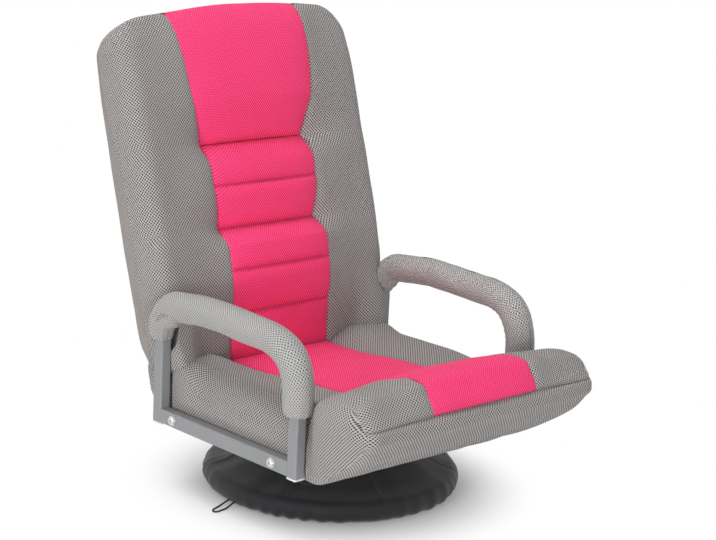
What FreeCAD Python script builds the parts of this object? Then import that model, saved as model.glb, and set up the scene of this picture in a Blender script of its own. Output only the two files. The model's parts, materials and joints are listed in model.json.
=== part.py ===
"""Legless swivel floor chair with a folding, reclining back and fixed padded arms.

Frame: origin on the floor at the swivel axis, +Z up, the sitter faces -Y.
The sitter's right side is at -X. All sizes are in millimetres.
"""

import FreeCAD
import Part
import math
import os

Vec = FreeCAD.Vector

# Arms: a closed loop of rectangular tube with a padded sleeve over the top
ARM_OUTER_X = 262.0
TUBE_X = 20.0
POST_Y = 22.0
BAR_Z = 25.0
TUBE_WALL = 1.6
TUBE_CORNER = 3.0
ARM_REAR_Y = 163.0
ARM_LENGTH = 364.0
BAR_BOTTOM_Z = 114.0
ARM_CREST_Y = 30.0
ARM_CREST_Z = 329.0
ARM_REAR_TOP_Z = 316.0
ARM_FRONT_TOP_Z = 321.0
ARM_REAR_BEND = 50.0
ARM_CREST_BEND = 300.0
ARM_FRONT_BEND = 90.0
PAD_R = 25.0
PAD_REAR_END_Z = 259.0
PAD_TAPER = 12.0
PAD_TAPER_R = 14.6
PAD_FRONT_END_Z = 207.0
CAP_FLANGE = 3.0
CAP_PLUG = 14.0
ARM_BOLT_YS = (108.0, -144.0)
ARM_BOLT_Z = 127.0
ARM_BOLT_R = 3.9
ARM_BOLT_HEAD_R = 7.0
ARM_BOLT_HEAD_H = 4.2
ARM_WASHER_R = 8.5
ARM_WASHER_T = 1.4
ARM_SPACER_R = 8.0

# Seat frame, its cross bars and its stretched webbing
RAIL_OUT_X = 224.0
RAIL_SIZE = 20.0
RAIL_BOTTOM_Z = 116.0
RAIL_FRONT_Y = -190.0
RAIL_REAR_Y = 136.0
RAIL_CORNER = 25.0
CROSS_BAR_Y = 55.0
CROSS_BAR_W = 30.0
CROSS_BAR_H = 24.0
CROSS_BAR_BOTTOM_Z = 96.0
SEAT_STRAP_W = 48.0
SEAT_STRAP_T = 2.0
SEAT_STRAP_YS = (-130.0, -60.0, 10.0, 80.0)

# Seat cushion
SEAT_PAD_X = 240.0
SEAT_PANEL_X = 110.0
SEAT_PAD_BOTTOM_Z = 138.4
SEAT_SEAM_GAP = 0.3
FRONT_SEAM_Y = -352.0
FRONT_SEAM_Z = 235.0
BAND_REAR_Y = -196.0
SKIRT_IN_X = 224.5
SKIRT_BOTTOM_Z = 103.0
HINGE_POCKET_X = 218.6
HINGE_POCKET_Y = 88.0
DUST_COVER_Z = 94.0
DUST_COVER_T = 1.8
DUST_COVER_FLAT_X = 206.0
DUST_COVER_X = 232.0
DUST_COVER_RISE = 6.5

# Reclining hinge: its axis is the crease where seat and back meet
HINGE_Y = 141.0
HINGE_Z = 204.0
BACK_LEAN_DEG = 16.6
GEAR_TIP_R = 22.0
GEAR_ROOT_R = 19.0
GEAR_TEETH = 24
GEAR_IN_X = 219.5
GEAR_T = 4.0
HOUSING_GAP = 0.5
HOUSING_T = 4.0
HINGE_PIN_R = 5.0
HINGE_CLEARANCE = 0.05
PAWL_PIVOT = (110.0, 158.0)
PAWL_STUD_R = 3.0

# Back: distances along the back (u) start at the hinge, depths (v) point to its front
CHANNEL_COUNT = 5
CHANNEL_FULLNESS = 0.72
HEAD_TOP_U = 606.0
BACK_CORE_X = 219.0
PAD_REAR_V = -35.0
BACK_TUBE_X = 209.0
BACK_TUBE_V = -47.0
BACK_TUBE_R = 9.5
BACK_TUBE_FOOT_U = 4.0
BACK_TUBE_TOP_U = 560.0
BACK_TUBE_BEND = 60.0
BACK_BAR_R = 8.0
BACK_BAR_US = (62.0, 222.0, 400.0)
BACK_STRAP_W = 50.0
BACK_STRAP_T = 2.0
BACK_STRAP_US = (120.0, 180.0, 280.0, 340.0, 460.0)
REAR_PAD_FRONT_V = -57.0
REAR_PAD_V = -78.0
REAR_PANEL_X = 150.0
REAR_PANEL_T = 2.0
REAR_PANEL_TOP_U = 440.0
LIP_U = 573.0
GUSSET_X = 240.0

# Swivel base: a covered tube ring, arched cross tubes and a ball bearing plate pair
RING_R = 198.0
RING_TUBE_R = 17.0
RING_Z = 20.5
COVER_R = 20.2
COVER_T = 3.0
COVER_TOP_R = 116.0
COVER_TOP_Z = 76.0
COVER_HEM_DEG = -75.0
MAT_R = 190.0
MAT_T = 3.4
ARCH_TUBE_R = 11.0
ARCH_FLAT_R = 95.0
ARCH_BEND = 40.0
SWIVEL_PLATE = 160.0
SWIVEL_PLATE_T = 3.0
SWIVEL_CORNER = 14.0
LOWER_PLATE_Z = 82.0
UPPER_PLATE_Z = 93.0
BALL_COUNT = 12
BALL_R = 3.7
BALL_CIRCLE_R = 50.0
RIVET_R = 8.0
LOWER_BOLT_AT = 65.0
UPPER_BOLT_X = 60.0
PLATE_BOLT_R = 3.0
PLATE_BOLT_HEAD_R = 5.5
PLATE_BOLT_HEAD_H = 3.5

# Drawstring of the base cover: a limp doubled loop that lies on the floor
CORD_R = 1.5
CORD_ROUTE = (
    (-213.0, 10.5, 9.0),
    (-222.0, 10.0, 7.0),
    (-231.0, 10.5, 3.4),
    (-241.0, 8.5, 1.6),
    (-251.0, 5.5, 1.6),
    (-259.0, 1.0, 1.6),
    (-260.5, -6.0, 1.6),
    (-254.0, -8.5, 1.6),
    (-246.0, -6.5, 1.6),
    (-237.0, -6.5, 1.7),
    (-228.0, -4.5, 4.0),
    (-220.0, -4.0, 7.2),
    (-213.0, -3.0, 9.0),
)

SIDES = (("right", -1.0), ("left", 1.0))
X_AXIS = Vec(1, 0, 0)
Y_AXIS = Vec(0, 1, 0)
Z_AXIS = Vec(0, 0, 1)


def save(name, shape):
    """Write one node as a STEP file and print its volume in cubic centimetres."""
    shape.exportStep(os.path.join("parts", name + ".step"))
    print(f"{name}: {len(shape.Solids)} solids, {shape.Volume / 1000:.1f} cm3, valid {shape.isValid()}")


def wire_of(steps):
    """Closed wire from a start point and steps: a point is a line, a pair is an arc through its first."""
    edges = []
    start = steps[0]
    here = start
    for step in steps[1:] + [start]:
        if isinstance(step, tuple):
            edges.append(Part.Arc(here, step[0], step[1]).toShape())
            here = step[1]
        elif (step - here).Length > 1e-6:
            edges.append(Part.LineSegment(here, step).toShape())
            here = step
    return Part.Wire(edges)


def rounded_rect(centre, half_a, half_b, radius, axis_a, axis_b):
    """Closed rounded rectangle about a centre, spanned by two unit axes."""
    diag = radius * (1 - math.sqrt(0.5))

    def at(a, b):
        return centre + axis_a * a + axis_b * b

    return wire_of([
        at(-half_a + radius, -half_b),
        at(half_a - radius, -half_b),
        (at(half_a - diag, -half_b + diag), at(half_a, -half_b + radius)),
        at(half_a, half_b - radius),
        (at(half_a - diag, half_b - diag), at(half_a - radius, half_b)),
        at(-half_a + radius, half_b),
        (at(-half_a + diag, half_b - diag), at(-half_a, half_b - radius)),
        at(-half_a, -half_b + radius),
        (at(-half_a + diag, -half_b + diag), at(-half_a + radius, -half_b)),
    ])


def bent_path(points, radii):
    """Open wire of straight runs joined by tangent arcs of the given radii at the inner points."""
    edges = []
    here = points[0]
    for before, corner, after, radius in zip(points, points[1:], points[2:], radii):
        back_dir = (before - corner).normalize()
        next_dir = (after - corner).normalize()
        half = back_dir.getAngle(next_dir) / 2
        reach = radius / math.tan(half)
        centre_dir = (back_dir + next_dir).normalize()
        enter = corner + back_dir * reach
        leave = corner + next_dir * reach
        middle = corner + centre_dir * (radius / math.sin(half) - radius)
        edges.append(Part.LineSegment(here, enter).toShape())
        edges.append(Part.Arc(enter, middle, leave).toShape())
        here = leave
    edges.append(Part.LineSegment(here, points[-1]).toShape())
    return Part.Wire(edges)


def sweep(path, profile):
    """Solid of a closed profile carried along a path."""
    return path.makePipeShell([profile], True, False)


def circle(centre, radius, normal):
    """Closed circular wire."""
    return Part.Wire(Part.Circle(centre, normal, radius).toShape())


def rod(start, end, radius):
    """Solid cylinder between two points."""
    along = end - start
    return Part.makeCylinder(radius, along.Length, start, along)


def block(low, high):
    """Box between two corners given in any order."""
    lows = [min(a, b) for a, b in zip(low, high)]
    spans = [abs(b - a) for a, b in zip(low, high)]
    return Part.makeBox(spans[0], spans[1], spans[2], Vec(*lows))


def prism(steps, along):
    """Closed outline carried straight along a vector."""
    return Part.Face(wire_of(steps)).extrude(along)


def loft(wires):
    """Smooth solid through closed sections that have the same number of edges."""
    return Part.makeLoft(wires, True, False)


def one_solid(shape):
    """The only solid of a boolean result, with split faces joined again."""
    return shape.removeSplitter().Solids[0]


def mirrored(shape):
    """Copy on the other side of the chair's middle plane."""
    return shape.mirror(Vec(0, 0, 0), X_AXIS)


def group(shapes):
    """Several separate solids in one node."""
    return Part.Compound(shapes)


def save_sides(name, left_shape):
    """Save a left-hand shape and its mirror image as two nodes."""
    save(name + "_left", left_shape)
    save(name + "_right", mirrored(left_shape))


def both_sides(shapes):
    """Left-hand shapes with their mirror images, as one group."""
    return group(shapes + [mirrored(s) for s in shapes])


def hexagon(centre, across_flats, normal, axis_a):
    """Closed regular hexagon."""
    axis_b = normal.cross(axis_a)
    reach = across_flats / 2 / math.cos(math.pi / 6)
    corners = []
    for k in range(6):
        angle = k * math.pi / 3
        corners.append(centre + axis_a * (reach * math.cos(angle)) + axis_b * (reach * math.sin(angle)))
    return wire_of(corners)


# The back's own directions, seen from the side
LEAN = math.radians(BACK_LEAN_DEG)
ALONG = Vec(0, math.sin(LEAN), math.cos(LEAN))
FRONT = Vec(0, -math.cos(LEAN), math.sin(LEAN))
HINGE = Vec(0, HINGE_Y, HINGE_Z)


def on_back(x, u, v):
    """Point at x across, u up the back and v towards its front."""
    return HINGE + X_AXIS * x + ALONG * u + FRONT * v


# Arms
ARM_MID_X = ARM_OUTER_X - TUBE_X / 2
ARM_IN_X = ARM_OUTER_X - TUBE_X
REAR_POST_Y = ARM_REAR_Y - POST_Y / 2
FRONT_POST_Y = ARM_REAR_Y - ARM_LENGTH + POST_Y / 2


def arm_path(rear_z, front_z):
    """Middle line of the arm tube, from a height on the rear post to one on the front post."""
    points = [
        Vec(ARM_MID_X, REAR_POST_Y, rear_z),
        Vec(ARM_MID_X, REAR_POST_Y, ARM_REAR_TOP_Z),
        Vec(ARM_MID_X, ARM_CREST_Y, ARM_CREST_Z),
        Vec(ARM_MID_X, FRONT_POST_Y, ARM_FRONT_TOP_Z),
        Vec(ARM_MID_X, FRONT_POST_Y, front_z),
    ]
    return bent_path(points, (ARM_REAR_BEND, ARM_CREST_BEND, ARM_FRONT_BEND))


def arm_tube(wall):
    """The bent tube of one arm, filled, drawn in from its outside by the wall."""
    path = arm_path(BAR_BOTTOM_Z, BAR_BOTTOM_Z)
    start = Vec(ARM_MID_X, REAR_POST_Y, BAR_BOTTOM_Z)
    corner = TUBE_CORNER - wall * 0.8
    profile = rounded_rect(start, TUBE_X / 2 - wall, POST_Y / 2 - wall, corner, X_AXIS, Y_AXIS)
    return sweep(path, profile)


def arm_bar(wall):
    """The straight lower bar between the posts, filled, drawn in by the wall."""
    start_y = FRONT_POST_Y + POST_Y / 2 - TUBE_WALL
    end_y = REAR_POST_Y - POST_Y / 2 + TUBE_WALL
    centre = Vec(ARM_MID_X, start_y, BAR_BOTTOM_Z + BAR_Z / 2)
    corner = TUBE_CORNER - wall * 0.8
    outline = rounded_rect(centre, TUBE_X / 2 - wall, BAR_Z / 2 - wall, corner, X_AXIS, Z_AXIS)
    return Part.Face(outline).extrude(Y_AXIS * (end_y - start_y))


def arm_sleeve(grow):
    """Round padded sleeve of one arm, filled, grown all round; its rear end narrows to the post."""
    rear_z = PAD_REAR_END_Z + PAD_TAPER
    path = arm_path(rear_z, PAD_FRONT_END_Z - grow)
    radius = PAD_R + grow
    body = sweep(path, circle(Vec(ARM_MID_X, REAR_POST_Y, rear_z), radius, Z_AXIS))
    tip = Vec(ARM_MID_X, REAR_POST_Y, PAD_REAR_END_Z)
    return body.fuse(Part.makeCone(PAD_TAPER_R + grow, radius, PAD_TAPER, tip, Z_AXIS))


def build_arms():
    """Arm frames, sleeves, end caps and the bolts that hold them to the seat frame."""
    loop = arm_tube(0.0)
    bar = arm_bar(0.0).cut(loop)
    frame = loop.fuse(bar).cut(group([arm_tube(TUBE_WALL), arm_bar(TUBE_WALL)]))
    holes = []
    for y in ARM_BOLT_YS:
        start = Vec(ARM_IN_X - 1, y, ARM_BOLT_Z)
        holes.append(rod(start, start + X_AXIS * (TUBE_X + 2), ARM_BOLT_R + 0.3))
    save_sides("arm_frame", one_solid(frame.cut(group(holes))))

    save_sides("arm_pad", one_solid(arm_sleeve(0.0).cut(loop)))

    caps = []
    for y in (REAR_POST_Y, FRONT_POST_Y):
        foot = Vec(ARM_MID_X, y, BAR_BOTTOM_Z)
        flange = rounded_rect(foot, TUBE_X / 2, POST_Y / 2, TUBE_CORNER, X_AXIS, Y_AXIS)
        inset = TUBE_WALL + 0.2
        plug = rounded_rect(foot, TUBE_X / 2 - inset, POST_Y / 2 - inset, 1.5, X_AXIS, Y_AXIS)
        cap = Part.Face(flange).extrude(Z_AXIS * -CAP_FLANGE)
        caps.append(cap.fuse(Part.Face(plug).extrude(Z_AXIS * CAP_PLUG)))
    save("arm_end_caps", both_sides(caps))

    bolts, washers, spacers, nuts = [], [], [], []
    nut_x = RAIL_OUT_X - 10.0
    for y in ARM_BOLT_YS:
        outer = Vec(ARM_OUTER_X, y, ARM_BOLT_Z)
        washer_out = outer + X_AXIS * ARM_WASHER_T
        head = rod(washer_out, washer_out + X_AXIS * ARM_BOLT_HEAD_H, ARM_BOLT_HEAD_R)
        head = head.makeFillet(2.4, [e for e in head.Edges if e.BoundBox.XMin > washer_out.x + 1])
        socket = Part.Face(hexagon(washer_out + X_AXIS * 1.6, 5.0, X_AXIS, Y_AXIS)).extrude(X_AXIS * 4)
        shank = rod(Vec(nut_x - 6, y, ARM_BOLT_Z), washer_out, ARM_BOLT_R)
        bolts.append(one_solid(head.fuse(shank).cut(socket)))
        hole = rod(Vec(nut_x - 10, y, ARM_BOLT_Z), outer + X_AXIS * 5, ARM_BOLT_R + 0.15)
        washers.append(rod(outer, washer_out, ARM_WASHER_R).cut(hole))
        rail_face = Vec(RAIL_OUT_X, y, ARM_BOLT_Z)
        spacers.append(rod(rail_face, Vec(ARM_IN_X, y, ARM_BOLT_Z), ARM_SPACER_R).cut(hole))
        nut = Part.Face(hexagon(Vec(nut_x - 4, y, ARM_BOLT_Z), 13.0, X_AXIS, Y_AXIS)).extrude(X_AXIS * 6.5)
        nuts.append(nut.cut(hole))
    save("arm_bolts", both_sides(bolts))
    save("arm_washers", both_sides(washers))
    save("arm_spacers", both_sides(spacers))
    save("arm_nuts", both_sides(nuts))


# Seat
RAIL_TOP_Z = RAIL_BOTTOM_Z + RAIL_SIZE
SEAT_STRAP_Z = RAIL_TOP_Z + 0.1


def ring_prism(inset, low_z, high_z):
    """Plan ring of the seat frame between two heights, drawn in on all sides by an inset."""
    middle_y = (RAIL_FRONT_Y + RAIL_REAR_Y) / 2
    half_y = (RAIL_REAR_Y - RAIL_FRONT_Y) / 2
    centre = Vec(0, middle_y, low_z)
    rise = Z_AXIS * (high_z - low_z)
    outer = rounded_rect(centre, RAIL_OUT_X - inset, half_y - inset, RAIL_CORNER - inset, X_AXIS, Y_AXIS)
    step = RAIL_SIZE - inset
    inner_corner = RAIL_CORNER - RAIL_SIZE + inset
    inner = rounded_rect(centre, RAIL_OUT_X - step, half_y - step, inner_corner, X_AXIS, Y_AXIS)
    return Part.Face(outer).extrude(rise).cut(Part.Face(inner).extrude(rise))


def build_seat_frame():
    """Welded ring of square tube, two cross bars under it and the straps across it."""
    ring = ring_prism(0.0, RAIL_BOTTOM_Z, RAIL_TOP_Z)
    hollow = ring_prism(TUBE_WALL, RAIL_BOTTOM_Z + TUBE_WALL, RAIL_TOP_Z - TUBE_WALL)
    holes = []
    for y in ARM_BOLT_YS:
        for _, side in SIDES:
            start = Vec(side * (RAIL_OUT_X - RAIL_SIZE - 2), y, ARM_BOLT_Z)
            holes.append(rod(start, Vec(side * (RAIL_OUT_X + 2), y, ARM_BOLT_Z), ARM_BOLT_R + 0.3))
    save("seat_frame", one_solid(ring.cut(hollow).cut(group(holes))))

    bars = []
    for y in (-CROSS_BAR_Y, CROSS_BAR_Y):
        reach = RAIL_OUT_X - RAIL_SIZE
        centre = Vec(-reach, y, CROSS_BAR_BOTTOM_Z + CROSS_BAR_H / 2)
        outer = rounded_rect(centre, CROSS_BAR_W / 2, CROSS_BAR_H / 2, 2.0, Y_AXIS, Z_AXIS)
        inner = rounded_rect(
            centre, CROSS_BAR_W / 2 - TUBE_WALL, CROSS_BAR_H / 2 - TUBE_WALL, 0.8, Y_AXIS, Z_AXIS
        )
        run = X_AXIS * (2 * reach)
        bar = Part.Face(outer).extrude(run).cut(Part.Face(inner).extrude(run))
        for x in (-UPPER_BOLT_X, UPPER_BOLT_X):
            low = Vec(x, y, CROSS_BAR_BOTTOM_Z - 1)
            bar = bar.cut(rod(low, low + Z_AXIS * 8, PLATE_BOLT_R + 0.2))
        bars.append(bar)
    save("seat_cross_bars", group(bars))

    straps = []
    reach = RAIL_OUT_X - 4
    for y in SEAT_STRAP_YS:
        low = (-reach, y - SEAT_STRAP_W / 2, SEAT_STRAP_Z)
        straps.append(block(low, (reach, y + SEAT_STRAP_W / 2, SEAT_STRAP_Z + SEAT_STRAP_T)))
    save("seat_webbing", group(straps))

    y = BAND_REAR_Y + 2
    flat = DUST_COVER_FLAT_X
    edge_z = DUST_COVER_Z + DUST_COVER_RISE
    under = prism([
        Vec(-flat, y, DUST_COVER_Z), Vec(flat, y, DUST_COVER_Z),
        Vec(DUST_COVER_X, y, edge_z), Vec(DUST_COVER_X, y, edge_z + DUST_COVER_T),
        Vec(flat, y, DUST_COVER_Z + DUST_COVER_T), Vec(-flat, y, DUST_COVER_Z + DUST_COVER_T),
        Vec(-DUST_COVER_X, y, edge_z + DUST_COVER_T), Vec(-DUST_COVER_X, y, edge_z),
    ], Y_AXIS * (HINGE_Y - 3 - y))
    window = SWIVEL_PLATE / 2 + 3
    hole = block((-window, -window, DUST_COVER_Z - 1), (window, window, DUST_COVER_Z + 5))
    save("seat_bottom_cover", one_solid(under.cut(hole)))


# Stations along the seat from its rear edge: y, top height and half width
SEAT_STATIONS = (
    (140.4, 198.0, 240.0),
    (125.0, 201.5, 240.0),
    (60.0, 203.0, 240.0),
    (-20.0, 205.0, 240.0),
    (-100.0, 208.0, 240.0),
    (-150.0, 217.0, 240.0),
    (-205.0, 244.0, 240.0),
    (-250.0, 265.0, 247.0),
    (-295.0, 277.0, 250.0),
    (-325.0, 273.0, 246.0),
    (-344.0, 256.0, 238.0),
    (-351.6, 241.0, 228.0),
)
SEAT_CROWN = 3.0
SIDE_CROWN = 7.0
SIDE_ROUND = 28.0
PAD_TRIM = 12.0


def pad_floor(y):
    """Height of the underside of the seat's top pads: flat on the frame, then rising to the front seam."""
    if y >= BAND_REAR_Y:
        return SEAT_PAD_BOTTOM_Z
    share = (BAND_REAR_Y - y) / (BAND_REAR_Y - FRONT_SEAM_Y)
    return SEAT_PAD_BOTTOM_Z + share * (FRONT_SEAM_Z - SEAT_PAD_BOTTOM_Z)


def seam_space(limit, shift):
    """All the space from a height to the pads' underside, used to trim the pads and the front band."""
    x = -320.0
    return prism([
        Vec(x, 220, limit), Vec(x, 220, SEAT_PAD_BOTTOM_Z + shift),
        Vec(x, BAND_REAR_Y, SEAT_PAD_BOTTOM_Z + shift),
        Vec(x, FRONT_SEAM_Y, FRONT_SEAM_Z + shift), Vec(x, FRONT_SEAM_Y, limit),
    ], X_AXIS * 640)


def seat_panel_section(y, top, _half):
    """Cross section of the coloured middle pad, drawn a little too deep before trimming."""
    low = pad_floor(y) - PAD_TRIM
    x = SEAT_PANEL_X
    crown = min(SEAT_CROWN, (top - low) * 0.3)
    return wire_of([
        Vec(-x, y, low),
        Vec(x, y, low),
        Vec(x, y, top - crown),
        (Vec(0, y, top), Vec(-x, y, top - crown)),
    ])


def seat_side_section(y, top, half):
    """Cross section of a side pad, left-hand: crowned top, rounded outer edge."""
    low = pad_floor(y) - PAD_TRIM
    inner = SEAT_PANEL_X - 10
    height = top - pad_floor(y)
    bend = min(SIDE_ROUND, height * 0.55)
    crown = min(SIDE_CROWN, height * 0.25)
    edge_top = top - crown
    diag = 1 - math.sqrt(0.5)
    return wire_of([
        Vec(inner, y, low),
        Vec(half, y, low),
        Vec(half, y, edge_top - bend),
        (Vec(half - bend * diag, y, edge_top - bend * diag), Vec(half - bend, y, edge_top)),
        (Vec((inner + half - bend) / 2, y, top), Vec(inner, y, top - SEAT_CROWN)),
    ])


# Stations along the grey front band: y, underside and half width
BAND_STATIONS = (
    (-196.0, 100.0, 240.0),
    (-206.0, 101.0, 240.5),
    (-250.0, 119.0, 247.0),
    (-295.0, 147.0, 251.0),
    (-330.0, 173.0, 249.0),
    (-350.0, 199.0, 238.0),
    (-362.0, 217.0, 216.0),
)
BAND_TIP_Z = 229.0


def band_section(y, low, half):
    """Cross section of the front band: flat underside with rounded lower ends."""
    high = min(pad_floor(y), BAND_TIP_Z) + (PAD_TRIM if y > FRONT_SEAM_Y else 0.0)
    bend = min(30.0, (high - low) * 0.6)
    diag = bend * (1 - math.sqrt(0.5))
    return wire_of([
        Vec(-half + bend, y, low),
        Vec(half - bend, y, low),
        (Vec(half - diag, y, low + diag), Vec(half, y, low + bend)),
        Vec(half, y, high),
        Vec(-half, y, high),
        Vec(-half, y, low + bend),
        (Vec(-half + diag, y, low + diag), Vec(-half + bend, y, low)),
    ])


def build_seat_pads():
    """Middle pad, two side pads with skirts outside the rails, and the band under the front roll."""
    below = seam_space(0.0, 0.0)
    middle = loft([seat_panel_section(*s) for s in SEAT_STATIONS])
    save("seat_center_pad", one_solid(middle.cut(below)))

    side = loft([seat_side_section(*s) for s in SEAT_STATIONS])
    inner_cut = block((0, -400, 0), (SEAT_PANEL_X + SEAT_SEAM_GAP, 200, 400))
    side = side.cut(group([below, inner_cut]))
    skirt = block((SKIRT_IN_X, BAND_REAR_Y + 1, SKIRT_BOTTOM_Z),
                  (SEAT_PAD_X, HINGE_Y - 0.6, SEAT_PAD_BOTTOM_Z + 12))
    low_edge = [e for e in skirt.Edges
                if e.BoundBox.ZMax < SKIRT_BOTTOM_Z + 1 and e.BoundBox.XMin > SEAT_PAD_X - 1]
    skirt = skirt.makeFillet(10.0, low_edge)
    pocket = block((HINGE_POCKET_X, HINGE_POCKET_Y, RAIL_BOTTOM_Z - 0.5),
                   (SEAT_PAD_X + 20, HINGE_Y + 1, HINGE_Z + 30))
    cuts = [pocket, arm_sleeve(0.6)]
    for y in ARM_BOLT_YS:
        start = Vec(SKIRT_IN_X - 2, y, ARM_BOLT_Z)
        cuts.append(rod(start, Vec(SEAT_PAD_X + 4, y, ARM_BOLT_Z), ARM_SPACER_R + 0.3))
    trimmed = side.fuse(skirt)
    for tool in cuts:
        trimmed = trimmed.cut(tool)
    save_sides("seat_side_pad", one_solid(trimmed))

    above = seam_space(420.0, -SEAT_SEAM_GAP)
    band = loft([band_section(*s) for s in BAND_STATIONS])
    save("seat_front_band", one_solid(band.cut(above)))


# Hinge
HOUSING_IN_X = GEAR_IN_X + GEAR_T + HOUSING_GAP
HOUSING_OUT_X = HOUSING_IN_X + HOUSING_T


def gear_teeth(x):
    """Outline of the ratchet wheel: leaning teeth about the hinge axis."""
    corners = []
    for k in range(GEAR_TEETH):
        base = 2 * math.pi * k / GEAR_TEETH
        for share, radius in ((0.0, GEAR_ROOT_R), (0.72, GEAR_TIP_R), (0.88, GEAR_TIP_R)):
            angle = base + share * 2 * math.pi / GEAR_TEETH
            corners.append(on_back(x, radius * math.sin(angle), radius * math.cos(angle)))
    return wire_of(corners)


def build_hinges():
    """Ratchet wheels on the back; housings, pins, pawls, springs and caps on the seat."""
    thick = X_AXIS * GEAR_T
    x = GEAR_IN_X
    wheel = Part.Face(gear_teeth(x)).extrude(thick)
    tube_v = BACK_TUBE_V
    neck = prism([
        on_back(x, 12, 8), on_back(x, 52, tube_v + 9), on_back(x, 40, tube_v - 9), on_back(x, -8, -14),
    ], thick)
    strap = prism([
        on_back(x, 36, tube_v - 9), on_back(x, 36, tube_v + 9), on_back(x, 104, tube_v + 9),
        (on_back(x, 113, tube_v), on_back(x, 104, tube_v - 9)),
    ], thick)
    start = HINGE + X_AXIS * (x - 1)
    bore = rod(start, start + X_AXIS * (GEAR_T + 2), HINGE_PIN_R + HINGE_CLEARANCE)
    save_sides("ratchet_gear", one_solid(wheel.fuse([neck, strap]).cut(bore)))

    centre = HINGE + X_AXIS * HOUSING_IN_X
    plate = rod(centre, centre + X_AXIS * HOUSING_T, GEAR_TIP_R + 2)
    foot = prism([
        Vec(HOUSING_IN_X, 96, RAIL_BOTTOM_Z + 1), Vec(HOUSING_IN_X, 139.5, RAIL_BOTTOM_Z + 1),
        Vec(HOUSING_IN_X, 139.5, 160), Vec(HOUSING_IN_X, 160, 190),
        Vec(HOUSING_IN_X, 118, 204), Vec(HOUSING_IN_X, 96, 170),
    ], X_AXIS * HOUSING_T)
    stud_at = Vec(GEAR_IN_X + 0.2, *PAWL_PIVOT)
    stud = rod(stud_at, stud_at + X_AXIS * (HOUSING_IN_X - stud_at.x + 0.5), PAWL_STUD_R)
    hinge_bore = rod(centre - X_AXIS, centre + X_AXIS * (HOUSING_T + 1), HINGE_PIN_R)
    spacer_at = Vec(HOUSING_IN_X - 1, ARM_BOLT_YS[0], ARM_BOLT_Z)
    spacer_hole = rod(spacer_at, spacer_at + X_AXIS * (HOUSING_T + 2), ARM_SPACER_R + 0.3)
    save_sides("hinge_housing", one_solid(plate.fuse([foot, stud]).cut(group([hinge_bore, spacer_hole]))))

    inner = HINGE + X_AXIS * GEAR_IN_X
    outer = HINGE + X_AXIS * HOUSING_OUT_X
    head = rod(outer, outer + X_AXIS * 3, HINGE_PIN_R + 3)
    save_sides("hinge_pin", one_solid(rod(inner, outer, HINGE_PIN_R).fuse(head)))

    pivot_y, pivot_z = PAWL_PIVOT
    boss = rod(Vec(x + 0.3, pivot_y, pivot_z), Vec(x + GEAR_T - 0.3, pivot_y, pivot_z), 7)
    tip = Vec(x + 0.3, 125.5, 184.5)
    arm = prism([
        Vec(x + 0.3, pivot_y - 6, pivot_z + 3), Vec(x + 0.3, 117, 183), tip,
        Vec(x + 0.3, 126.5, 181), Vec(x + 0.3, pivot_y + 6, pivot_z - 3),
    ], X_AXIS * (GEAR_T - 0.6))
    eye = rod(Vec(x - 1, pivot_y, pivot_z), Vec(x + GEAR_T + 1, pivot_y, pivot_z), PAWL_STUD_R + 0.1)
    save_sides("hinge_pawl", one_solid(boss.fuse(arm).cut(eye)))

    leaf = prism([
        Vec(x + 0.5, 98.6, 138), Vec(x + 0.5, 99.6, 138), Vec(x + 0.5, 102.4, 168),
        Vec(x + 0.5, 113.5, 182.6), Vec(x + 0.5, 112.6, 183.2), Vec(x + 0.5, 101.4, 168.4),
    ], X_AXIS * (GEAR_T - 1))
    foot_tab = block((x + 0.5, 92, RAIL_TOP_Z + SEAT_STRAP_T + 0.2), (x + GEAR_T - 0.5, 101, 139.2))
    save_sides("pawl_spring", one_solid(leaf.fuse(foot_tab)))

    cap = rod(outer, outer + X_AXIS * 8, GEAR_TIP_R + 1)
    cap = cap.makeFillet(5.0, [e for e in cap.Edges if e.BoundBox.XMin > outer.x + 6])
    void = rod(outer - X_AXIS, outer + X_AXIS * 5, GEAR_TIP_R - 2)
    save_sides("hinge_cap", one_solid(cap.cut(void)))


def build_rear_gusset():
    """Stuffed fabric elbow from the seat's underside to the foot of the back, wide behind the arm posts."""
    half = GUSSET_X
    top_front = on_back(0, -0.8, -0.5)
    top_rear = on_back(0, -0.8, REAR_PAD_V)
    bend = 52.0
    diag = bend * (1 - math.sqrt(0.5))
    sections = []
    for x, inset in ((-half, 14.0), (-half + 18, 2.0), (0, 0.0), (half - 18, 2.0), (half, 14.0)):
        rear_y = top_rear.y - inset
        low_z = SKIRT_BOTTOM_Z - 4 + inset
        sections.append(wire_of([
            Vec(x, HINGE_Y + 0.6, low_z),
            Vec(x, rear_y - bend, low_z),
            (Vec(x, rear_y - diag, low_z + diag), Vec(x, rear_y, low_z + bend)),
            Vec(x, rear_y, top_rear.z - 0.3),
            Vec(x, HINGE_Y + 0.6, top_front.z - 0.3),
        ]))
    elbow = Part.makeLoft(sections, True, True)
    beside = block((HINGE_POCKET_X - 1, 0, 0), (GUSSET_X + 20, ARM_REAR_Y + 5, 400))
    save("rear_gusset", one_solid(elbow.cut(group([beside, mirrored(beside)]))))


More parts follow.
